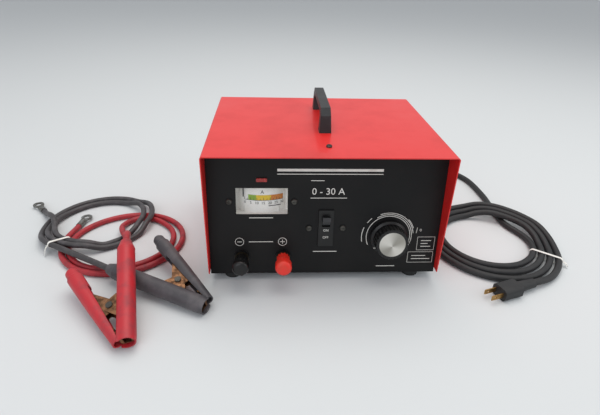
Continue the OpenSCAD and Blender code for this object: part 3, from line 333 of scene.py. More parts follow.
# Urea moulding of the red terminal knob
RED_UREA = Finish("red_urea", "#dd2c20", "#d03a28", 0.38, 0.5, drift_mm=9, grain_mm=0.5, depth_mm=0.01)
# Matt white card of the meter's scale
SCALE_CARD = Finish("scale_card", "#e9e7e2", "#e2dfd8", 0.6, 0.7, drift_mm=24, grain_mm=0.3, depth_mm=0.004)
# Blackened aluminium pointer
POINTER_BLACK = Finish("blackened_aluminium", "#161616", "#202020", 0.5, 0.6, drift_mm=6)
# Red polycarbonate lens of the pilot lamp
LAMP_LENS = Finish("lamp_lens", "#8e1712", "#a21c16", 0.2, 0.3, drift_mm=4, grain_mm=0.8, depth_mm=0.02, coat=0.5)
# Dark grey thermoplastic rocker
TOGGLE_PLASTIC = Finish("toggle_plastic", "#27282a", "#303134", 0.35, 0.5, drift_mm=6, grain_mm=0.4)
# Brown paper-phenolic of the tap switch
RESIN = Finish("switch_resin", "#6a4a2e", "#553a24", 0.45, 0.6, drift_mm=12, grain_mm=0.8, depth_mm=0.02)
# Spun and diamond-turned aluminium cap of the knob; its colour and tint are the painted highlight and painted shade of
# its light and dark wedges
SPUN_CAP = Finish(
    "turned_aluminium_cap", "#dcd9d2", "#a5a29a", 0.3, 0.42, metal=1.0, pattern=Pattern.SPUN, drift_mm=30,
    grain_mm=0.5, depth_mm=0.03, turn_deg=PANEL_TURN, centre_m=(0.079, -0.1247, 0.0618),
)
# Machined brass of the studs, nuts, washers and plug blades
BRASS = Finish("turned_brass", "#b08d57", "#8d6d3e", 0.3, 0.5, metal=1.0, drift_mm=8, grain_mm=0.3)
# Blackened brass of the terminals' washers
DARK_BRASS = Finish("blackened_brass", "#4a4032", "#332d25", 0.4, 0.55, metal=1.0, drift_mm=6, grain_mm=0.3)
# Rolled copper strap
COPPER = Finish(
    "rolled_copper", "#b87333", "#8f5526", 0.32, 0.5, metal=1.0, pattern=Pattern.BRUSHED, drift_mm=12, grain_mm=0.4
)
# Varnished silicon-steel laminations
LAMINATION = Finish(
    "core_lamination", "#4b4f55", "#3d4046", 0.5, 0.65, metal=0.6, drift_mm=20, grain_mm=0.5, depth_mm=0.05,
    pattern=Pattern.BRUSHED,
)
# Enamelled copper winding under varnish
WINDING = Finish("enamel_winding", "#8c5a2b", "#744621", 0.35, 0.5, drift_mm=14, grain_mm=1.2, depth_mm=0.12)
# Extruded aluminium heatsink
EXTRUDED = Finish(
    "extruded_aluminium", "#a9adb1", "#979b9f", 0.35, 0.5, metal=1.0, pattern=Pattern.BRUSHED, drift_mm=20
)
# Rubber-sheathed mains flex, dull black
FLEX = Finish(
    "mains_flex", "#1b1c1e", "#28292b", 0.48, 0.66, pattern=Pattern.CORD, drift_mm=9, grain_mm=0.8, depth_mm=0.03
)
# Moulded rubber of the plug and the gland
MOULDED = Finish("moulded_rubber", "#1b1c1e", "#272829", 0.5, 0.65, drift_mm=12, grain_mm=0.6, depth_mm=0.03)
# Vinyl-sheathed welding-type cable, black faded to grey
GREY_CABLE = Finish(
    "grey_cable", "#3a383a", "#504d50", 0.42, 0.6, pattern=Pattern.CORD, drift_mm=12, grain_mm=1.0, depth_mm=0.03
)
# Vinyl-sheathed cable, red, soiled
RED_CABLE = Finish(
    "red_cable", "#a5242e", "#81272f", 0.42, 0.6, pattern=Pattern.CORD, drift_mm=14, grain_mm=1.0, depth_mm=0.03
)
# Dip-moulded vinyl sleeves of the clamps
GREY_SLEEVE = Finish("grey_sleeve", "#424044", "#5a5659", 0.42, 0.6, drift_mm=26, grain_mm=1.4, depth_mm=0.05)
RED_SLEEVE = Finish("red_sleeve", "#b4242e", "#8f2e37", 0.4, 0.58, drift_mm=26, grain_mm=1.4, depth_mm=0.05)
# Pressed copper-plated steel jaws, tarnished
JAW_COPPER = Finish("tarnished_jaw", "#a07657", "#634a38", 0.4, 0.65, metal=1.0, drift_mm=7, grain_mm=0.5, share=0.8)
# Tinned copper lug, dulled
LUG_TIN = Finish("dulled_lug", "#8d8f8f", "#6b6963", 0.4, 0.6, metal=1.0, drift_mm=5, grain_mm=0.4, share=0.8)
# Drawn spring wire
SPRING_WIRE = Finish("spring_wire", "#7d7467", "#5b5146", 0.35, 0.55, metal=1.0, drift_mm=4, grain_mm=0.3)
# Soft white polyethylene twist tie
TIE_WHITE = Finish("white_tie", "#ecebe6", "#dcdad2", 0.45, 0.6, drift_mm=8, grain_mm=0.4)
# White screen-printing ink
WHITE_INK = Finish("white_ink", "#dad8d2", "#c9c6bf", 0.55, 0.65, drift_mm=10, grain_mm=0.3, depth_mm=0.003)
# Printed inks of the meter's scale
BLACK_INK = Finish("scale_black_ink", "#171717", "#242424", 0.6, 0.7, drift_mm=8)
GREEN_INK = Finish("scale_green_ink", "#86a82c", "#7c9d28", 0.6, 0.7, drift_mm=8)
YELLOW_INK = Finish("scale_yellow_ink", "#d9b71f", "#cfac1c", 0.6, 0.7, drift_mm=8)
ORANGE_INK = Finish("scale_orange_ink", "#c8761a", "#bc6d18", 0.6, 0.7, drift_mm=8)
WINDOW = ClearFinish("cast_acrylic", "#dfe6e8")


# ---------- Surfaces ----------


def unit(v: Array) -> Array:
    """Scales each vector of an array to length 1."""
    return v / np.linalg.norm(v, axis=-1, keepdims=True)


# Cuts in each stretch of a spline, before it is respaced
CUTS = 12


def spline(points: Array, step: float) -> Array:
    """Runs one smooth line through points and respaces it evenly.

    Each stretch is a cubic whose ends take the chord of the points on either side, then the whole line is cut
    into equal lengths.

    Args:
        points: n by 3 route points.
        step: distance between the points returned, in the same unit.

    Returns:
        m by 3 points.
    """
    p = np.vstack([2 * points[0] - points[1], points, 2 * points[-1] - points[-2]])
    chord = np.sqrt(np.linalg.norm(np.diff(p, axis=0), axis=1))
    t = np.concatenate([[0], np.cumsum(chord)])
    u = np.linspace(0, 1, CUTS, endpoint=False)[None, :, None]
    a, b, c, d = p[:-3, None], p[1:-2, None], p[2:-1, None], p[3:, None]
    ta, tb, tc, td = (t[i : len(t) - 3 + i][:, None, None] for i in range(4))
    m1 = (tc - tb) * ((b - a) / (tb - ta) - (c - a) / (tc - ta) + (c - b) / (tc - tb))
    m2 = (tc - tb) * ((c - b) / (tc - tb) - (d - b) / (td - tb) + (d - c) / (td - tc))
    line = (
        (2 * u**3 - 3 * u**2 + 1) * b + (u**3 - 2 * u**2 + u) * m1 + (3 * u**2 - 2 * u**3) * c + (u**3 - u**2) * m2
    ).reshape(-1, 3)
    line = np.vstack([line, points[-1]])
    run = np.concatenate([[0], np.cumsum(np.linalg.norm(np.diff(line, axis=0), axis=1))])
    even = np.linspace(0, run[-1], max(2, int(round(run[-1] / step)) + 1))
    return np.stack([np.interp(even, run, line[:, i]) for i in range(3)], axis=1)


def frames(line: Array) -> tuple[Array, Array]:
    """Two unit directions square to a line at each of its points, level sideways and up.

    Args:
        line: n by 3 points.

    Returns:
        The sideways and the upward directions, each n by 3.
    """
    heading = unit(np.gradient(line, axis=0))
    side = np.cross(np.array([0.0, 0.0, 1.0]), heading)
    weak = np.linalg.norm(side, axis=1) < 1e-3
    side[weak] = [1.0, 0.0, 0.0]
    side = unit(side)
    return side, np.cross(heading, side)


def mesh_piece(
    name: str, points: Array, faces: Array | list, finish: Finish, smooth: bool = True
) -> bpy.types.Object:
    """Puts points and faces into a mesh object at the origin.

    Args:
        name: the piece's name.
        points: n by 3 points, in metres.
        faces: lists of point numbers, outward by the right-hand rule.
        finish: its material.
        smooth: whether faces are shaded smooth.

    Returns:
        The object.
    """
    mesh = bpy.data.meshes.new(name)
    mesh.from_pydata(np.asarray(points).tolist(), [], [list(map(int, f)) for f in faces])
    mesh.validate()
    mesh.polygons.foreach_set("use_smooth", np.full(len(mesh.polygons), smooth))
    mesh.materials.append(finish.material())
    piece = bpy.data.objects.new(name, mesh)
    bpy.context.collection.objects.link(piece)
    return piece


def grid_faces(rows: int, columns: int, wrap: bool) -> Array:
    """Four-sided faces of a grid whose points run row by row.

    Args:
        rows: number of rows of points.
        columns: number of points in a row.
        wrap: whether each row closes on itself.

    Returns:
        k by 4 point numbers.
    """
    i, j = np.meshgrid(np.arange(rows - 1), np.arange(columns if wrap else columns - 1), indexing="ij")
    a = (i * columns + j).ravel()
    b = (i * columns + (j + 1) % columns).ravel()
    return np.stack([a, b, b + columns, a + columns], axis=1)


def tube_piece(name: str, line: Array, radius: Array | float, sides: int, finish: Finish) -> bpy.types.Object:
    """A closed round tube along a line: circle of that radius, carried square to the line.

    The UV map holds the way round as a share of a turn, and the length along the line in metres.

    Args:
        name: the piece's name.
        line: n by 3 points, in metres.
        radius: one radius, or one at each point, in metres.
        sides: points round the circle.
        finish: its material.

    Returns:
        The object.
    """
    side, up = frames(line)
    turn = np.linspace(0, 2 * np.pi, sides, endpoint=False)
    ring = np.cos(turn)[None, :, None] * side[:, None] + np.sin(turn)[None, :, None] * up[:, None]
    radii = np.broadcast_to(np.asarray(radius, float), (len(line),))
    points = (line[:, None] + radii[:, None, None] * ring).reshape(-1, 3)
    faces = grid_faces(len(line), sides, True)
    last = (len(line) - 1) * sides
    ends = [list(range(sides))[::-1], [last + k for k in range(sides)]]
    piece = mesh_piece(name, points, faces.tolist() + ends, finish)
    run = np.concatenate([[0], np.cumsum(np.linalg.norm(np.diff(line, axis=0), axis=1))])
    columns = np.arange(sides)
    i, j = np.meshgrid(np.arange(len(line) - 1), columns, indexing="ij")
    u = np.stack([j, j + 1, j + 1, j], axis=-1).reshape(-1) / sides
    v = run[np.stack([i, i, i + 1, i + 1], axis=-1).reshape(-1)]
    end_uv = np.zeros((2 * sides, 2))
    layer = piece.data.uv_layers.new(name="along")
    layer.data.foreach_set("uv", np.vstack([np.stack([u, v], axis=1), end_uv]).ravel())
    return piece


def joined(name: str, parts: list[Shape], finish: Finish, smooth: bool = False) -> bpy.types.Object:
    """One mesh from several lots of points and faces.

    Args:
        name: the piece's name.
        parts: pairs of n by 3 points and their faces.
        finish: its material.
        smooth: whether faces are shaded smooth.

    Returns:
        The object.
    """
    points, faces, start = [], [], 0
    for p, f in parts:
        points.append(p)
        faces += [[start + int(k) for k in face] for face in f]
        start += len(p)
    return mesh_piece(name, np.vstack(points), faces, finish, smooth)


def outward(piece: bpy.types.Object) -> None:
    """Turns every closed shell's faces outwards.

    Args:
        piece: the mesh object.
    """
    work = bmesh.new()
    work.from_mesh(piece.data)
    bmesh.ops.recalc_face_normals(work, faces=work.faces)
    work.to_mesh(piece.data)
    work.free()


# Height of a capital of the built-in face, as a share of its size
CAPITAL = 0.7


def letter_mesh(text: str, height: float) -> Shape:
    """A flat mesh of a number, sign or ON and OFF in the plain built-in face, centred on the origin.

    Args:
        text: what it says.
        height: height of a capital.

    Returns:
        n by 3 points in the XY plane, and their faces.
    """
    curve = bpy.data.curves.new("letters", "FONT")
    curve.body = text
    curve.size = height / CAPITAL
    curve.resolution_u = 3
    holder = bpy.data.objects.new("letters", curve)
    bpy.context.collection.objects.link(holder)
    bpy.context.view_layer.update()
    mesh = bpy.data.meshes.new_from_object(holder.evaluated_get(bpy.context.evaluated_depsgraph_get()))
    points = np.zeros(len(mesh.vertices) * 3)
    mesh.vertices.foreach_get("co", points)
    points = points.reshape(-1, 3)
    faces = [list(f.vertices) for f in mesh.polygons]
    bpy.data.objects.remove(holder)
    bpy.data.curves.remove(curve)
    bpy.data.meshes.remove(mesh)
    points -= (points.max(axis=0) + points.min(axis=0)) / 2
    return points, faces


def strip(outer: Array, inner: Array) -> Shape:
    """A flat band between two lines of as many points."""
    return np.vstack([outer, inner]), [f[::-1] for f in grid_faces(2, len(outer), False).tolist()]


def arc_band(mid: tuple[float, float], radius: float, width: float, start: float, end: float) -> Shape:
    """A flat band bent round a circle, from one angle to another, anticlockwise.

    Args:
        mid: the circle's middle.
        radius: the band's middle radius.
        width: its width.
        start: first angle in degrees.
        end: last angle in degrees.

    Returns:
        Points in the XY plane and faces.
    """
    a = np.radians(np.linspace(start, end, max(4, int(abs(end - start) / 4))))
    ray = np.stack([np.cos(a), np.sin(a), 0 * a], axis=1)
    centre = np.array([mid[0], mid[1], 0.0])
    points, faces = strip(centre + (radius + width / 2) * ray, centre + (radius - width / 2) * ray)
    return points, [f[::-1] for f in faces]


def bar(a: tuple[float, float], b: tuple[float, float], width: float) -> Shape:
    """A flat straight line in the XY plane.

    Args:
        a: its first end.
        b: its other end.
        width: its width.

    Returns:
        Points and faces.
    """
    p, q = np.array([*a, 0.0]), np.array([*b, 0.0])
    along = unit(q - p)
    out = np.array([-along[1], along[0], 0.0]) * width / 2
    return np.array([p + out, p - out, q - out, q + out]), [[0, 1, 2, 3]]


def frame_of(x0: float, y0: float, x1: float, y1: float, width: float) -> list[Shape]:
    """Four lines of a width round a box in the XY plane."""
    corner = [(x0, y0), (x1, y0), (x1, y1), (x0, y1)]
    return [bar(corner[i], corner[(i + 1) % 4], width) for i in range(4)]


# ---------- Camera, light and floor ----------


@dataclass
class Studio:
    """Camera, soft lamps, pale floor and pale surroundings."""

    camera_at_m: tuple[float, float, float] = (-0.0650, -0.5800, 0.3696)
    yaw_deg: float = 3.86
    pitch_deg: float = 29.11
    roll_deg: float = 1.83
    lens_mm: float = 27.43
    sensor_mm: float = 36.0
    floor_colour: str = "#cdd1d3"
    floor_half_m: float = 9.0
    glow: float = 0.68
    # Each lamp: name, place, what it faces, side in metres, watts, colour
    lamps: tuple[tuple, ...] = (
        ("ceiling", (0.1, 0.25, 1.9), (0.0, 0.0, 0.0), 1.8, 26.0, "#fffaf3"),
        ("front_fill", (-0.9, -1.7, 1.1), (-0.05, 0.0, 0.08), 1.4, 11.0, "#f6f8ff"),
        ("side_fill", (1.7, -0.5, 0.9), (0.0, 0.0, 0.08), 1.2, 6.0, "#ffffff"),
    )

    def aimed(self, data: bpy.types.ID, at: tuple, right: Array, up: Array, ahead: Array) -> bpy.types.Object:
        """Puts a camera or a lamp in its place, turned by its three directions.

        Args:
            data: the camera's or the lamp's data.
            at: its place in metres.
            right: its right.
            up: its upwards.
            ahead: the way it looks.

        Returns:
            The object.
        """
        made = bpy.data.objects.new(data.name, data)
        matrix = Matrix(np.stack([right, up, -ahead], axis=1).tolist()).to_4x4()
        matrix.translation = at
        made.matrix_world = matrix
        bpy.context.collection.objects.link(made)
        return made

    def camera(self) -> None:
        """Builds the camera from its place, its three turns and its lens."""
        yaw, pitch, roll = (math.radians(a) for a in (self.yaw_deg, self.pitch_deg, self.roll_deg))
        ahead = np.array([math.sin(yaw) * math.cos(pitch), math.cos(yaw) * math.cos(pitch), -math.sin(pitch)])
        right = np.array([math.cos(yaw), -math.sin(yaw), 0.0])
        up = np.cross(right, ahead)
        c, s = math.cos(roll), math.sin(roll)
        right, up = c * right + s * up, -s * right + c * up
        data = bpy.data.cameras.new("view")
        data.lens = self.lens_mm
        data.sensor_width = self.sensor_mm
        data.clip_start = 0.01
        bpy.context.scene.camera = self.aimed(data, self.camera_at_m, right, up, ahead)

    def lamp(self, name: str, at: tuple, aim: tuple, size: float, watts: float, colour: str) -> None:
        """Adds one square soft lamp.

        Args:
            name: the lamp's name.
            at: its place in metres.
            aim: the point that it faces.
            size: its side in metres.
            watts: its power.
            colour: its sRGB hex colour.
        """
        data = bpy.data.lights.new(name, "AREA")
        data.size = size
        data.energy = watts
        data.color = linear(colour)[:3]
        ahead = unit(np.array(aim, float) - np.array(at, float))
        right = unit(np.cross(ahead, np.array([0.0, 0.0, 1.0])))
        self.aimed(data, at, right, np.cross(right, ahead), ahead)

    def floor(self) -> None:
        """Lays a pale floor, and gives the world a pale even glow."""
        mesh = bpy.data.meshes.new("floor")
        half = self.floor_half_m
        mesh.from_pydata([(-half, -half, 0), (half, -half, 0), (half, half, 0), (-half, half, 0)], [], [(0, 1, 2, 3)])
        made = bpy.data.materials.new("studio_floor")
        made.use_nodes = True
        shader = made.node_tree.nodes["Principled BSDF"]
        shader.inputs["Base Color"].default_value = linear(self.floor_colour)
        shader.inputs["Roughness"].default_value = 0.75
        mesh.materials.append(made)
        floor = bpy.data.objects.new("floor", mesh)
        bpy.context.collection.objects.link(floor)
        world = bpy.data.worlds.new("studio")
        bpy.context.scene.world = world
        world.use_nodes = True
        tree = world.node_tree
        tree.nodes.clear()
        rays = add_node(tree, "ShaderNodeLightPath")
        seen = add_node(
            tree, "ShaderNodeMath", {0: rays.outputs["Is Camera Ray"], 1: rays.outputs["Is Transmission Ray"]},
            operation="MAXIMUM",
        )
        glow = add_node(tree, "ShaderNodeBackground", Color=linear("#e9ebee"), Strength=self.glow)
        back = add_node(tree, "ShaderNodeBackground", Color=linear("#e6e3de"), Strength=1.0)
        both = add_node(tree, "ShaderNodeMixShader", {0: seen.outputs[0], 1: glow.outputs[0], 2: back.outputs[0]})
        add_node(tree, "ShaderNodeOutputWorld", {"Surface": both.outputs[0]})

    def build(self) -> None:
        """Builds the camera, the floor and three lamps."""
        self.camera()
        self.floor()
        for lamp in self.lamps:
            self.lamp(*lamp)
        bpy.context.scene.view_settings.view_transform = "Standard"


# ---------- Cords ----------

STEPS_A_TURN = 24
CORD_SIDES = 14
# The hump of a strand in a tie, flat and then easing off: millimetres on the leads, degrees of the mains coil
TIE_HUMP = (14, 30)


def bump_of(x: Array, flat: float, ramp: float) -> Array:
    """A smooth hump: 1 within flat of zero, easing to 0 over ramp."""
    u = np.clip((flat + ramp - np.abs(x)) / ramp, 0, 1)
    return u * u * (3 - 2 * u)


def turned(a: Array) -> Array:
    """Brings angles in degrees within half a turn of zero."""
    return a - 360 * np.round(a / 360)


def with_straight_ends(coil_at: Callable[[Array], Array], turns: float, length: float, level: bool) -> Array:
    """Samples a coil and goes straight on at both ends, by one length and then two fifths more.

    Args:
        coil_at: gives the coil's points at a number of turns from its start.
        turns: how many turns the coil has.
        length: the straight length.
        level: whether the straight ends keep their height.

    Returns:
        n by 3 points.
    """
    count = round(turns * STEPS_A_TURN)
    line = coil_at(np.arange(count + 1) * turns / count)
    near = 0.002
    ends = coil_at(np.array([0, near, turns - near, turns]))
    first, last = ends[1] - ends[0], ends[3] - ends[2]
    if level:
        first[2] = last[2] = 0
    first, last = length * unit(first), length * unit(last)
    return np.vstack([line[0] - 1.4 * first, line[0] - first, line, line[-1] + last, line[-1] + 1.4 * last])


def free_cord(
    name: str, line: Array, diameter: float, finish: Finish, slot: str, nodes: list[str], **facts: object
) -> Array:
    """Args:
        name: the piece's name.
        line: its centreline, in millimetres.
        diameter: its diameter, in millimetres.
        finish: its material.
        slot: not used.
        nodes: the nodes that it replaces.
        **facts: not used.

    Returns:
        Its centreline, in millimetres.
    """
    line = line * MM
    piece = tube_piece(name, line, diameter / 2 * MM, CORD_SIDES, finish)
    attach(piece, "case")
    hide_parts(*nodes)
    return line / MM


@dataclass
class MainsCord:
    """The mains flex: from its boot behind the case, round it, into a flat oval coil and to the plug."""

    diameter: float = 9.0
    low: float = 5.0
    turns: float = 3.27
    start_deg: float = 22.0
    mid: tuple[float, float] = (252.0, -27.0)
    half: tuple[float, float] = (61.0, 60.0)
    step: tuple[float, float] = (10.0, 14.0)
    over_deg: float = 42.0
    over_hump: tuple[float, float] = (24.0, 36.0)
    over_gap: float = 0.7
    tie_deg: float = -32.0
    tie_lift: float = 1.2
    plug_z: float = 8.5
    plug_rise: float = 0.05
    spacing: float = 3.0
    route: list = field(
        default_factory=lambda: [
            [100, 135.4, 47], [100, 146, 47], [102, 166, 43.5], [108, 190, 32], [121, 209, 20], [141, 224, 11],
            [164, 235, 6], [189, 241, 5], [214, 242, 5], [238, 238, 5], [260, 229, 5], [278, 215, 5],
            [291, 197, 5], [299, 176, 5], [302, 154, 5], [303, 130, 5], [303, 106, 5], [301, 82, 5],
            [299, 58, 5], [298, 38, 5], [299.5, 20, 5],
        ]
    )

    def coil_at(self, k: Array) -> Array:
        """The coil's line: a clockwise oval that grows by one step a turn and humps over what it crosses.

        Args:
            k: turns from the coil's start.

        Returns:
            n by 3 points in millimetres.
        """
        th = self.start_deg - 360 * k
        over = np.where(k > 0.5, bump_of(turned(th - self.over_deg), *self.over_hump), 0)
        tied = bump_of(turned(th - self.tie_deg), *TIE_HUMP)
        last = np.clip(1 - (self.turns - k) / self.plug_rise, 0, 1)
        rise = last * last * (3 - 2 * last)
        z = self.low + (self.diameter + self.over_gap) * over + self.tie_lift * tied
        z += (self.plug_z - self.low) * rise
        x = self.mid[0] + (self.half[0] + self.step[0] * k) * np.cos(np.radians(th))
        y = self.mid[1] + (self.half[1] + self.step[1] * k) * np.sin(np.radians(th))
        return np.stack([x, y, z], axis=1)

    def line(self) -> Array:
        """The whole flex's centreline.

        Returns:
            n by 3 points in millimetres.
        """
        coil = with_straight_ends(self.coil_at, self.turns, self.diameter, True)[:-1]
        return spline(np.vstack([np.array(self.route, float), coil]), self.spacing)

    def build(self) -> Array:
        """Returns:
            Its centreline, in millimetres.
        """
        return free_cord(
            "mains_flex", self.line(), self.diameter, FLEX, "cord_black", ["mains_lead", "mains_coil"],
            far_end="plug", stiffness="medium", lay="coiled", with_pieces=["plug_body", "plug_blades"],
        )


@dataclass
class LeadPair:
    """The two output leads: each from its lug through a coil, both in one tie, to its clamp."""

    diameter: float = 8.0
    tie_at: tuple[float, float] = (-362.0, -58.0)
    tie_lift: float = 1.4
    red_mid: tuple[float, float] = (-270.0, -20.0)
    black_mid: tuple[float, float] = (-322.0, 30.0)
    red_turns: float = 1.6
    black_turns: float = 2.08
    step: float = 9.0
    loosen: float = 4.0
    over_gap: float = 0.8
    drape_hump: tuple[float, float] = (19.0, 28.0)
    spacing: float = 2.5
    red_lug: list = field(
        default_factory=lambda: [[-353, 24, 4.6], [-354, 14, 4.6], [-356, 2, 4.6], [-358, -11, 4.7]]
    )
    red_clamp: list = field(
        default_factory=lambda: [
            [-246, 36.5, 4.3], [-254.5, 39.6, 4.3], [-263, 41, 4.3], [-272, 39.5, 4.3], [-280.5, 33.5, 4.4],
            [-286, 24, 5.2], [-287.5, 13, 7.6], [-285.5, 2, 10.6], [-281.5, -9, 13], [-276, -20.5, 14.6],
            [-270, -31, 16.8], [-265, -40, 21], [-261, -48.5, 28], [-257.5, -56.5, 36.8], [-254.5, -66, 44.6],
            [-251.9, -76.5, 48.4],
        ]
    )
    black_lug: list = field(
        default_factory=lambda: [
            [-428, 69, 4.6], [-421, 61, 4.6], [-414, 52, 6.5], [-406, 42, 11], [-398, 32, 15.5], [-390, 22, 17],
            [-384.5, 12, 14.5],
        ]
    )
    black_clamp: list = field(
        default_factory=lambda: [[-344, -59, 14.6], [-328, -69, 15], [-312, -79, 15.7], [-296, -89, 16.4]]
    )

    @property
    def low(self) -> float:
        """Height of a strand's middle on the bench."""
        return self.diameter / 2 + 0.3

    def loop(self, mid: tuple, r0: float, th: Array, k: Array, tie_deg: float, pull: float) -> Array:
        """A round coil pulled out towards the tie: its radius grows by the turn, and swells near the tie.

        Args:
            mid: the coil's middle.
            r0: innermost radius.
            th: angle in degrees.
            k: turns counted from the innermost.
            tie_deg: the way to the tie.
            pull: how far the coil is drawn out there.

        Returns:
            n by 2 points.
        """
        near = (1 + np.cos(np.radians(th - tie_deg))) / 2
        r = r0 + k * (self.step + self.loosen * (1 - near)) + pull * near**3
        return np.stack([mid[0] + r * np.cos(np.radians(th)), mid[1] + r * np.sin(np.radians(th))], axis=1)

    def tie_rise(self, p: Array) -> Array:
        """How far the tie lifts a strand that passes near it."""
        return self.tie_lift * bump_of(np.linalg.norm(p - np.array(self.tie_at), axis=1), *TIE_HUMP)

    def red_coil(self, k: Array) -> Array:
        """The red coil's line at a number of turns from its start, from its outer turn inwards."""
        p = self.loop(self.red_mid, 60, 190 + 360 * k, self.red_turns - k, 202, 14)
        return np.column_stack([p, self.low + self.tie_rise(p)])

    def drape(self, p: Array, under: Array) -> Array:
        """How far a strand rides up on those it lies over: one layer near them in plan, easing to none.

        Args:
            p: n by 2 points of the strand.
            under: the line below it.

        Returns:
            n lifts.
        """
        a, b = under[:-1, :2], under[1:, :2]
        s = b - a
        u = np.clip(np.einsum("ijk,jk->ij", p[:, None] - a[None], s) / (s * s).sum(axis=1), 0, 1)
        gap = np.linalg.norm(p[:, None] - a[None] - u[..., None] * s[None], axis=2).min(axis=1)
        return (self.diameter + self.over_gap) * bump_of(gap, *self.drape_hump)

    def black_coil(self, k: Array, under: Array) -> Array:
        """The black coil's line, from its inner turn outwards, draped over the line under it."""
        p = self.loop(self.black_mid, 54, 212 + 360 * k, k, 243, 15)
        return np.column_stack([p, self.low + self.tie_rise(p) + self.drape(p, under)])

    def lead(self, colour: str, stretches: list, finish: Finish, slot: str) -> Array:
        """Makes one lead, running from its lug into its clamp's boot.

        Args:
            colour: "red" or "black", with which its nodes' names begin.
            stretches: its route, lug first, in millimetres.
            finish: its material.
            slot: not used.

        Returns:
            Its centreline, in millimetres.
        """
        line = spline(np.vstack([np.asarray(s, float) for s in stretches]), self.spacing)
        return free_cord(
            f"{colour}_cable", line, self.diameter, finish, slot, [f"{colour}_lead", f"{colour}_lead_coil"],
            far_end="fitting", stiffness="limp", lay="coiled",
            with_pieces=[f"{colour}_{kind}" for kind in ("lug", "fixed_sleeve", "fixed_jaw")],
        )

    def build(self, red_clamp: "Clamp", black_clamp: "Clamp") -> Array:
        """Makes both leads.

        Args:
            red_clamp: the clamp on the red lead.
            black_clamp: the clamp on the black lead.

        Returns:
            Both centrelines, one after the other, in millimetres.
        """
        red = with_straight_ends(self.red_coil, self.red_turns, self.diameter, True)
        under = np.vstack([np.array(self.red_lug, float), red, np.array(self.red_clamp[:5], float)])
        black = with_straight_ends(lambda k: self.black_coil(k, under), self.black_turns, self.diameter, False)
        red_route = [self.red_lug, red, self.red_clamp, red_clamp.lead_end(self.diameter)]
        black_route = [self.black_lug, black, self.black_clamp, black_clamp.lead_end(self.diameter)]
        return np.vstack(
            [
                self.lead("red", red_route, RED_CABLE, "red_vinyl"),
                self.lead("black", black_route, GREY_CABLE, "grey_vinyl"),
            ]
        )


# ---------- Clamps ----------


@dataclass
class Clamp:
    """One crocodile clamp: where it lies, and the wire spring round its pin."""

    name: str
    tip: tuple[float, float, float]
    pose_deg: tuple[float, float, float]
    side: int
    arm_len: float = 134.0
    boot: float = 10.0
    seat: float = 5.0
    pivot: tuple[float, float] = (50.0, 16.5)
    spring_r: float = 4.6
    wire: float = 1.2
    curls: int = 3
    curl_start_deg: float = 200.0
    # Each leg's points, from the end of the curls that it leaves
    upper_leg: tuple[tuple[float, ...], ...] = ((4, 15.8, 0), (1.5, 11, 0), (-0.6, 5.5, 0))
    lower_leg: tuple[tuple[float, ...], ...] = ((2.5, -6, 0), (7, -12.5, 0), (14, -19, 0))

    def matrix(self) -> Array:
        """The clamp's own directions.

        Returns:
            As columns: along its fixed arm, towards its moving arm, and square to both.
        """
        h, t, r = (math.radians(a) for a in (self.pose_deg[0], -self.pose_deg[1], self.pose_deg[2]))
        rz = np.array([[math.cos(h), -math.sin(h), 0], [math.sin(h), math.cos(h), 0], [0, 0, 1]])
        ry = np.array([[math.cos(t), 0, math.sin(t)], [0, 1, 0], [-math.sin(t), 0, math.cos(t)]])
        rx = np.array([[1, 0, 0], [0, math.cos(r), -math.sin(r)], [0, math.sin(r), math.cos(r)]])
        return rz @ ry @ rx @ np.diag([1.0, self.side, 1.0])

    def place(self, p: Array) -> Array:
        """Carries points from the clamp's own frame to the row frame, in millimetres."""
        return np.array(self.tip) + np.asarray(p, float) @ self.matrix().T

    def lead_end(self, diameter: float) -> Array:
        """The straight last diameter of the lead, inside the clamp's boot."""
        end = self.arm_len + self.boot - self.seat
        return self.place(np.array([[end + diameter, 0, 0], [end, 0, 0]]))

    def spring(self) -> None:
        """Winds the torsion spring: a helix of even curls with a leg towards each arm."""
        k = np.arange(STEPS_A_TURN * self.curls + 1) / STEPS_A_TURN
        a = np.radians(self.curl_start_deg + 360 * k)
        x0, y0 = self.pivot
        rise = (self.wire + 0.3) * (k - self.curls / 2)
        curl = np.stack([x0 + self.spring_r * np.cos(a), y0 + self.spring_r * np.sin(a), rise], axis=1)
        bends = np.vstack([curl[0] + np.array(self.upper_leg), curl, curl[-1] + np.array(self.lower_leg)])
        line = self.place(spline(bends, 0.7)) * MM
        piece = tube_piece(f"{self.name}_spring", line, self.wire / 2 * MM, 8, SPRING_WIRE)
        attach(piece, "case")
        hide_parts("clamp_springs")

    def build(self) -> None:
        """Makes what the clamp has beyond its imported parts."""
        self.spring()
        log.info("%s clamp", self.name)


# ---------- Ties ----------


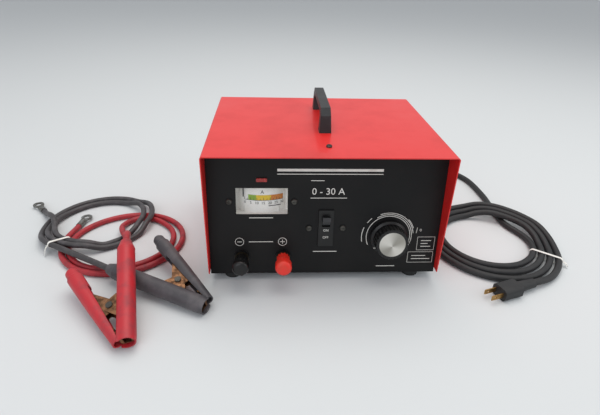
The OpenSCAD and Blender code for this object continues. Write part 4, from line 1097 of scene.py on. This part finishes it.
@dataclass
class TwistTie:
    """A flat white tie: a band drawn tight round the strands of a bundle, and its twisted ends."""

    name: str
    node: str
    at: tuple[float, float, float]
    heading_deg: float
    reach: float
    strand_d: float
    end: float
    band_w: float = 3.6
    band_t: float = 0.7
    slack: float = 0.15
    count: int = 96
    end_len: float = 7.0
    end_w: float = 2.2
    end_t: float = 0.6
    end_z: float = 1.2

    def outlines(self, strands: Array, across: Array, along: Array) -> tuple[Array, Array]:
        """Where the band's two faces lie round the strands that it holds.

        Each direction round the bundle takes the strand that reaches furthest that way, and the point on a circle
        round it, so that the band is straight between strands and round over them.

        Args:
            strands: centrelines in millimetres.
            across: level direction square to the bundle.
            along: the bundle's direction.

        Returns:
            The inner and the outer outline, each count by 2, across and up from the middle.
        """
        off = strands - np.array(self.at)
        near = (np.abs(off @ along) < 2.0) & (np.abs(off @ across) < self.reach)
        middle = np.stack([off[near] @ across, off[near][:, 2]], axis=1)
        t = np.linspace(0, 2 * np.pi, self.count, endpoint=False)
        way = np.stack([np.cos(t), np.sin(t)], axis=1)
        held = middle[np.argmax(way @ middle.T, axis=1)]
        inner = self.strand_d / 2 + self.slack
        return held + inner * way, held + (inner + self.band_t) * way

    def tail(self, root: Array, across: Array, along: Array, spread: float) -> Shape:
        """One twisted end: a thin ribbon that leaves the band and drops to just above the bench.

        Args:
            root: where it leaves the band.
            across: level direction square to the bundle.
            along: the bundle's direction.
            spread: which way it parts from the other end, 1 or -1.

        Returns:
            Points in metres, and faces.
        """
        rows = 14
        s = np.linspace(0, 1, rows)
        up = np.array([0.0, 0.0, 1.0])
        line = (
            root
            + np.outer(self.end_len * s, across * self.end)
            + np.outer(spread * (0.7 + 2.2 * s * s), along)
            + np.outer((self.end_z - root[2]) * s**1.3 + 1.2 * np.sin(np.pi * s), up)
        )
        wide, thick = self.end_w / 2 * along, self.end_t / 2 * (up + 0.3 * across)
        ribbon = np.stack([line - wide - thick, line + wide - thick, line + wide + thick, line - wide + thick], 1)
        last = 4 * (rows - 1)
        ends = [[3, 2, 1, 0], [last, last + 1, last + 2, last + 3]]
        return ribbon.reshape(-1, 3) * MM, grid_faces(rows, 4, True).tolist() + ends

    def build(self, strands: Array) -> None:
        """Makes the band as a closed strip with thickness, and its ends as curved ribbons.

        Args:
            strands: centrelines in millimetres.
        """
        h = math.radians(self.heading_deg)
        across = np.array([math.cos(h), math.sin(h), 0.0])
        along = np.array([math.sin(h), -math.cos(h), 0.0])
        inner, outer = (
            np.array(self.at) + shape[:, :1] * across + shape[:, 1:] * [0.0, 0.0, 1.0]
            for shape in self.outlines(strands, across, along)
        )
        half = self.band_w / 2 * along
        loops = np.stack([outer - half, outer + half, inner + half, inner - half], axis=1)
        i = np.arange(self.count)
        faces = []
        for k in range(4):
            n, after = (k + 1) % 4, (i + 1) % self.count
            faces += np.stack([i * 4 + k, i * 4 + n, after * 4 + n, after * 4 + k], axis=1).tolist()
        root = outer[np.argmax(outer @ across * self.end)]
        parts = [(loops.reshape(-1, 3) * MM, faces)]
        parts += [self.tail(root, across, along, spread) for spread in (-1.0, 1.0)]
        piece = joined(self.name, parts, TIE_WHITE, True)
        outward(piece)
        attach(piece, "case")
        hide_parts(self.node)
        log.info("%s", self.name)


# ---------- Panel ----------


@dataclass
class Panel:
    """The leaning control panel: its frame, and the white legends screened on it."""

    lower_y: float = -109.0
    lower_z: float = 11.0
    lean_deg: float = LEAN
    ink_out: float = 0.04
    line: float = 0.55
    knob: tuple[float, float] = (79.0, 51.0)
    # Round the knob: radius, first and last angle
    arcs: tuple[tuple[float, ...], ...] = (
        (27.6, -34, 205), (29.7, -24, 122), (31.8, 8, 112), (33.2, 20, 44), (33.6, 158, 192), (33.2, 132, 146)
    )
    # Level rules: left end, height on the panel, length, width
    rules: tuple[tuple[float, ...], ...] = (
        (67, 9, 24, 1.0), (-94, 76.8, 29, 0.9), (-95, 44.4, 30, 0.8), (-15, 30.5, 30, 0.9), (-60, 137.5, 126, 3.2),
        (-60, 132.6, 126, 0.9), (-20, 124.5, 16, 0.8), (-20, 102.5, 44, 0.8), (122, 44.8, 13, 0.9),
        (122, 40.8, 9, 0.9), (122, 36.8, 13, 0.9), (112, 23.6, 18, 0.9), (112, 19.2, 24, 0.9),
    )

    def place(self, p: Array) -> Array:
        """Carries panel points to the row frame.

        Args:
            p: n by 3 points in millimetres: across, up the slope and out of the face.

        Returns:
            n by 3 points, in metres.
        """
        a = math.radians(self.lean_deg)
        p = np.asarray(p, float)
        y = self.lower_y + p[:, 1] * math.sin(a) - p[:, 2] * math.cos(a)
        z = self.lower_z + p[:, 1] * math.cos(a) + p[:, 2] * math.sin(a)
        return np.stack([p[:, 0], y, z], axis=1) * MM

    def words(self, text: str, height: float, at: tuple[float, float]) -> Shape:
        """A number, a sign or ON and OFF, centred on a place on the panel."""
        points, faces = letter_mesh(text, height)
        return points + np.array([at[0], at[1], 0.0]), faces

    def ink(self, name: str, parts: list[Shape], out: float) -> None:
        """Prints marks in white.

        Args:
            name: the piece's name.
            parts: points and faces of each mark, flat on the panel.
            out: how far the printed face stands before the panel's.
        """
        lifted = [(self.place(p + np.array([0, 0, out + self.ink_out])), f) for p, f in parts]
        piece = joined(name, lifted, WHITE_INK)
        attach(piece, "case")
        log.info("%s, %d marks", name, len(parts))

    def build(self) -> None:
        """Screens the generic legends: signs at the terminals, the knob's arcs, "0 - 30 A", rules, frames, ON, OFF."""
        parts: list[Shape] = []
        for at, sign in (((-106.5, 44.4), "-"), ((-53.3, 44.4), "+")):
            parts.append(arc_band(at, 5.2, self.line, 0, 360))
            parts.append(bar((at[0] - 2.9, at[1]), (at[0] + 2.9, at[1]), 0.7))
            if sign == "+":
                parts.append(bar((at[0], at[1] - 2.9), (at[0], at[1] + 2.9), 0.7))
        parts += [arc_band(self.knob, radius, 0.8, start, end) for radius, start, end in self.arcs]
        parts.append(bar((114.5, 55.5), (115.5, 63), 0.7))
        for x0, y0, y1 in ((117.4, 31.7, 50), (107, 14, 29)):
            parts += frame_of(x0, y0, 139.5, y1, 0.45)
        parts += [bar((x, y), (x + length, y), width) for x, y, length, width in self.rules]
        parts += [self.words("0", 3.6, (119.8, 59.5)), self.words("0 - 30 A", 8.4, (1.5, 111))]
        self.ink("panel_legends", parts, 0.0)
        self.ink("breaker_legends", [self.words("ON", 3.0, (0.0, 60.5)), self.words("OFF", 3.0, (0.0, 51.0))], 2.0)


@dataclass
class Meter:
    """The panel meter's inside: a white rounded scale with its print, and white walls round it."""

    panel: Panel
    at: tuple[float, float] = (-78.5, 98.0)
    axis_back: float = 52.0
    drum_r: float = 44.0
    card_out: float = 0.12
    floor_drop: float = 17.4
    ceiling: float = 17.2
    wall_x: float = 32.4
    depths: tuple[float, float] = (2.9, 19.0)

    def on_drum(self, x: Array, y: Array, out: float) -> Array:
        """Wraps a flat print round the drum: across becomes arc length, height stays.

        Args:
            x: distance across, in millimetres along the arc.
            y: height above the meter's middle.
            out: distance from the drum's face.

        Returns:
            n by 3 points in the row frame, in metres.
        """
        a = x / self.drum_r
        r = self.drum_r + out
        p = np.stack([self.at[0] + r * np.sin(a), self.at[1] + y, r * np.cos(a) - self.axis_back], axis=1)
        return self.panel.place(p)

    def patch(self, x0: float, x1: float, y0: float, y1: float, out: float) -> Shape:
        """A rectangle of print wrapped round the drum, in enough columns to follow it.

        Args:
            x0: left side.
            x1: right side.
            y0: lower side.
            y1: upper side.
            out: distance from the drum's face.

        Returns:
            Points and faces.
        """
        n = max(2, int(abs(x1 - x0) / 1.2) + 2)
        x = np.linspace(x0, x1, n)
        low, high = self.on_drum(x, np.full(n, y0), out), self.on_drum(x, np.full(n, y1), out)
        return np.vstack([low, high]), grid_faces(2, n, False).tolist()

    def number(self, text: str, height: float, x: float, y: float) -> Shape:
        """A number or the unit sign, centred on a place on the scale and wrapped round the drum."""
        points, faces = letter_mesh(text, height)
        return self.on_drum(points[:, 0] + x, points[:, 1] + y, self.card_out + 0.3), faces

    def card(self) -> None:
        """Makes the white card over the drum and the white walls, floor and back that the window shows."""
        reach = self.drum_r * math.asin(27.9 / self.drum_r)
        points, faces = self.patch(-reach, reach, -14.5, 16.0, self.card_out)
        wx, low, top = self.wall_x, -self.floor_drop, self.ceiling
        x0, y0 = self.at
        outline = ((-wx, low), (wx, low), (wx, top), (-wx, top))
        box = np.array([[x0 + x, y0 + y, -depth] for depth in self.depths for x, y in outline])
        walls = [[4, 5, 6, 7], [0, 1, 5, 4], [1, 2, 6, 5], [2, 3, 7, 6], [3, 0, 4, 7]]
        piece = joined("meter_card", [(points, faces), (self.panel.place(box), walls)], SCALE_CARD)
        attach(piece, "case")

    def print_colours(self) -> None:
        """Prints the green, yellow and orange bands."""
        for name, x0, x1, finish in (
            ("scale_green", -17.0, -7.0, GREEN_INK), ("scale_yellow", -7.0, 11.0, YELLOW_INK),
            ("scale_orange", 11.0, 27.0, ORANGE_INK),
        ):
            piece = joined(name, [self.patch(x0, x1, -1.4, 5.2, self.card_out + 0.25)], finish)
            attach(piece, "case")

    def print_black(self) -> None:
        """Prints the ticks, their line, the numbers and the unit sign."""
        out = self.card_out + 0.3
        parts = [self.patch(-22, 27, -1.9, -1.4, out)]
        for n in range(13):
            x, tall = -22 + n * 4, (3.4, 2.2)[n % 2]
            parts.append(self.patch(x - 0.25, x + 0.25, -1.6, tall - 1.6, out))
        parts += [self.number(str(n * 5), 3.4, -21.5 + n * 7.8, -5.0) for n in range(7)]
        parts += [self.number("A", 4.4, 0.5, 9.2), self.patch(8, 24, -9.3, -8.3, out)]
        piece = joined("scale_print", parts, BLACK_INK)
        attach(piece, "case")

    def build(self) -> None:
        """Makes the card and all its print."""
        self.card()
        self.print_colours()
        self.print_black()
        log.info("meter scale")


@dataclass
class Knob:
    """The current knob's white index line, which turns with it."""

    panel: Panel
    start_deg: float = 215.0
    half_w: float = 0.6
    skirt_r: float = 23.0
    body_r: float = 20.0

    def build(self) -> None:
        """Makes the index line on the skirt's bevel and up the knob's side, at the start of its turn."""
        a = math.radians(self.start_deg)
        ray, tangent = np.array([math.cos(a), math.sin(a)]), np.array([-math.sin(a), math.cos(a)])
        rows = [(self.skirt_r + 0.02, 3.5), (self.skirt_r + 0.02, 6.52), (self.body_r + 0.55, 8.52)]
        points = [
            [*(np.array(self.panel.knob) + r * ray + s * tangent), out]
            for r, out in rows
            for s in (-self.half_w, self.half_w)
        ]
        faces = [[0, 1, 3, 2], [2, 3, 5, 4]]
        piece = joined("knob_index", [(self.panel.place(np.array(points)), faces)], WHITE_INK)
        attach(piece, "current_control")
        log.info("knob index")


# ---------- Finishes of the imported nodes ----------

NODES_OF: tuple[tuple[Finish | ClearFinish, str], ...] = (
    (BLACK_PAINT, "base_tray front_panel rear_panel"),
    (RED_PAINT, "cover"),
    (RUBBER, "rubber_feet"),
    (HANDLE_NYLON, "handle"),
    (DARK_ZINC, "cover_screws meter_screws breaker_screws clamp_pivot_pins"),
    (ZINC, "foot_screws handle_screws control_shaft transformer_bracket transformer_screws"),
    (PHENOLIC, "meter_housing breaker_body current_knob terminal_insulators black_terminal_knob"),
    (SCALE_CARD, "meter_dial"),
    (POINTER_BLACK, "meter_pointer"),
    (WINDOW, "meter_window"),
    (LAMP_LENS, "pilot_lamp"),
    (TOGGLE_PLASTIC, "breaker_toggle"),
    (RESIN, "current_switch"),
    (SPUN_CAP, "knob_cap"),
    (BRASS, "terminal_studs terminal_nuts rectifier_diodes plug_blades"),
    (DARK_BRASS, "black_terminal_washer red_terminal_washer"),
    (RED_UREA, "red_terminal_knob"),
    (COPPER, "output_straps"),
    (LAMINATION, "transformer_core"),
    (WINDING, "transformer_winding"),
    (EXTRUDED, "heatsink"),
    (MOULDED, "cord_gland plug_body"),
    (LUG_TIN, "black_lug red_lug"),
    (JAW_COPPER, "black_fixed_jaw black_moving_jaw red_fixed_jaw red_moving_jaw"),
    (GREY_SLEEVE, "black_fixed_sleeve black_moving_sleeve"),
    (RED_SLEEVE, "red_fixed_sleeve red_moving_sleeve"),
    (FLEX, "mains_lead mains_coil"),
    (TIE_WHITE, "mains_tie leads_tie"),
    (GREY_CABLE, "black_lead black_lead_coil"),
    (RED_CABLE, "red_lead red_lead_coil"),
    (SPRING_WIRE, "clamp_springs"),
)


def dress_nodes(nodes: dict[str, bpy.types.Object]) -> None:
    """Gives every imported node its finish.

    Args:
        nodes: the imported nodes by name.
    """
    finish_of = {name: finish for finish, names in NODES_OF for name in names.split()}
    for name, node in nodes.items():
        node.data.materials.clear()
        node.data.materials.append(finish_of[name].material())
    log.info("%d nodes dressed", len(nodes))


def main() -> None:
    """Builds the scene in order: camera and cords first, then the fittings and the finishes."""
    logging.basicConfig(level=logging.INFO, format="%(name)s: %(message)s")
    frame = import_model()
    Studio().build()
    red = Clamp("red", (-217.0, -226.0, 11.8), (103.2, 14.2, -14.0), 1)
    black = Clamp("black", (-142.0, -171.0, 11.0), (153.0, 2.6, -12.0), -1)
    flex = MainsCord().build()
    leads = LeadPair().build(red, black)
    red.build()
    black.build()
    TwistTie("leads_twist_tie", "leads_tie", (-355.8, -39.1, 9.85), 35.0, 20.0, 8.0, -1.0).build(leads)
    TwistTie("mains_twist_tie", "mains_tie", (317.73, -71.03, 6.2), -38.0, 23.0, 9.0, 1.0).build(flex)
    panel = Panel()
    panel.build()
    Meter(panel).build()
    Knob(panel).build()
    dress_nodes(frame["nodes"])


if __name__ == "__main__":
    main()
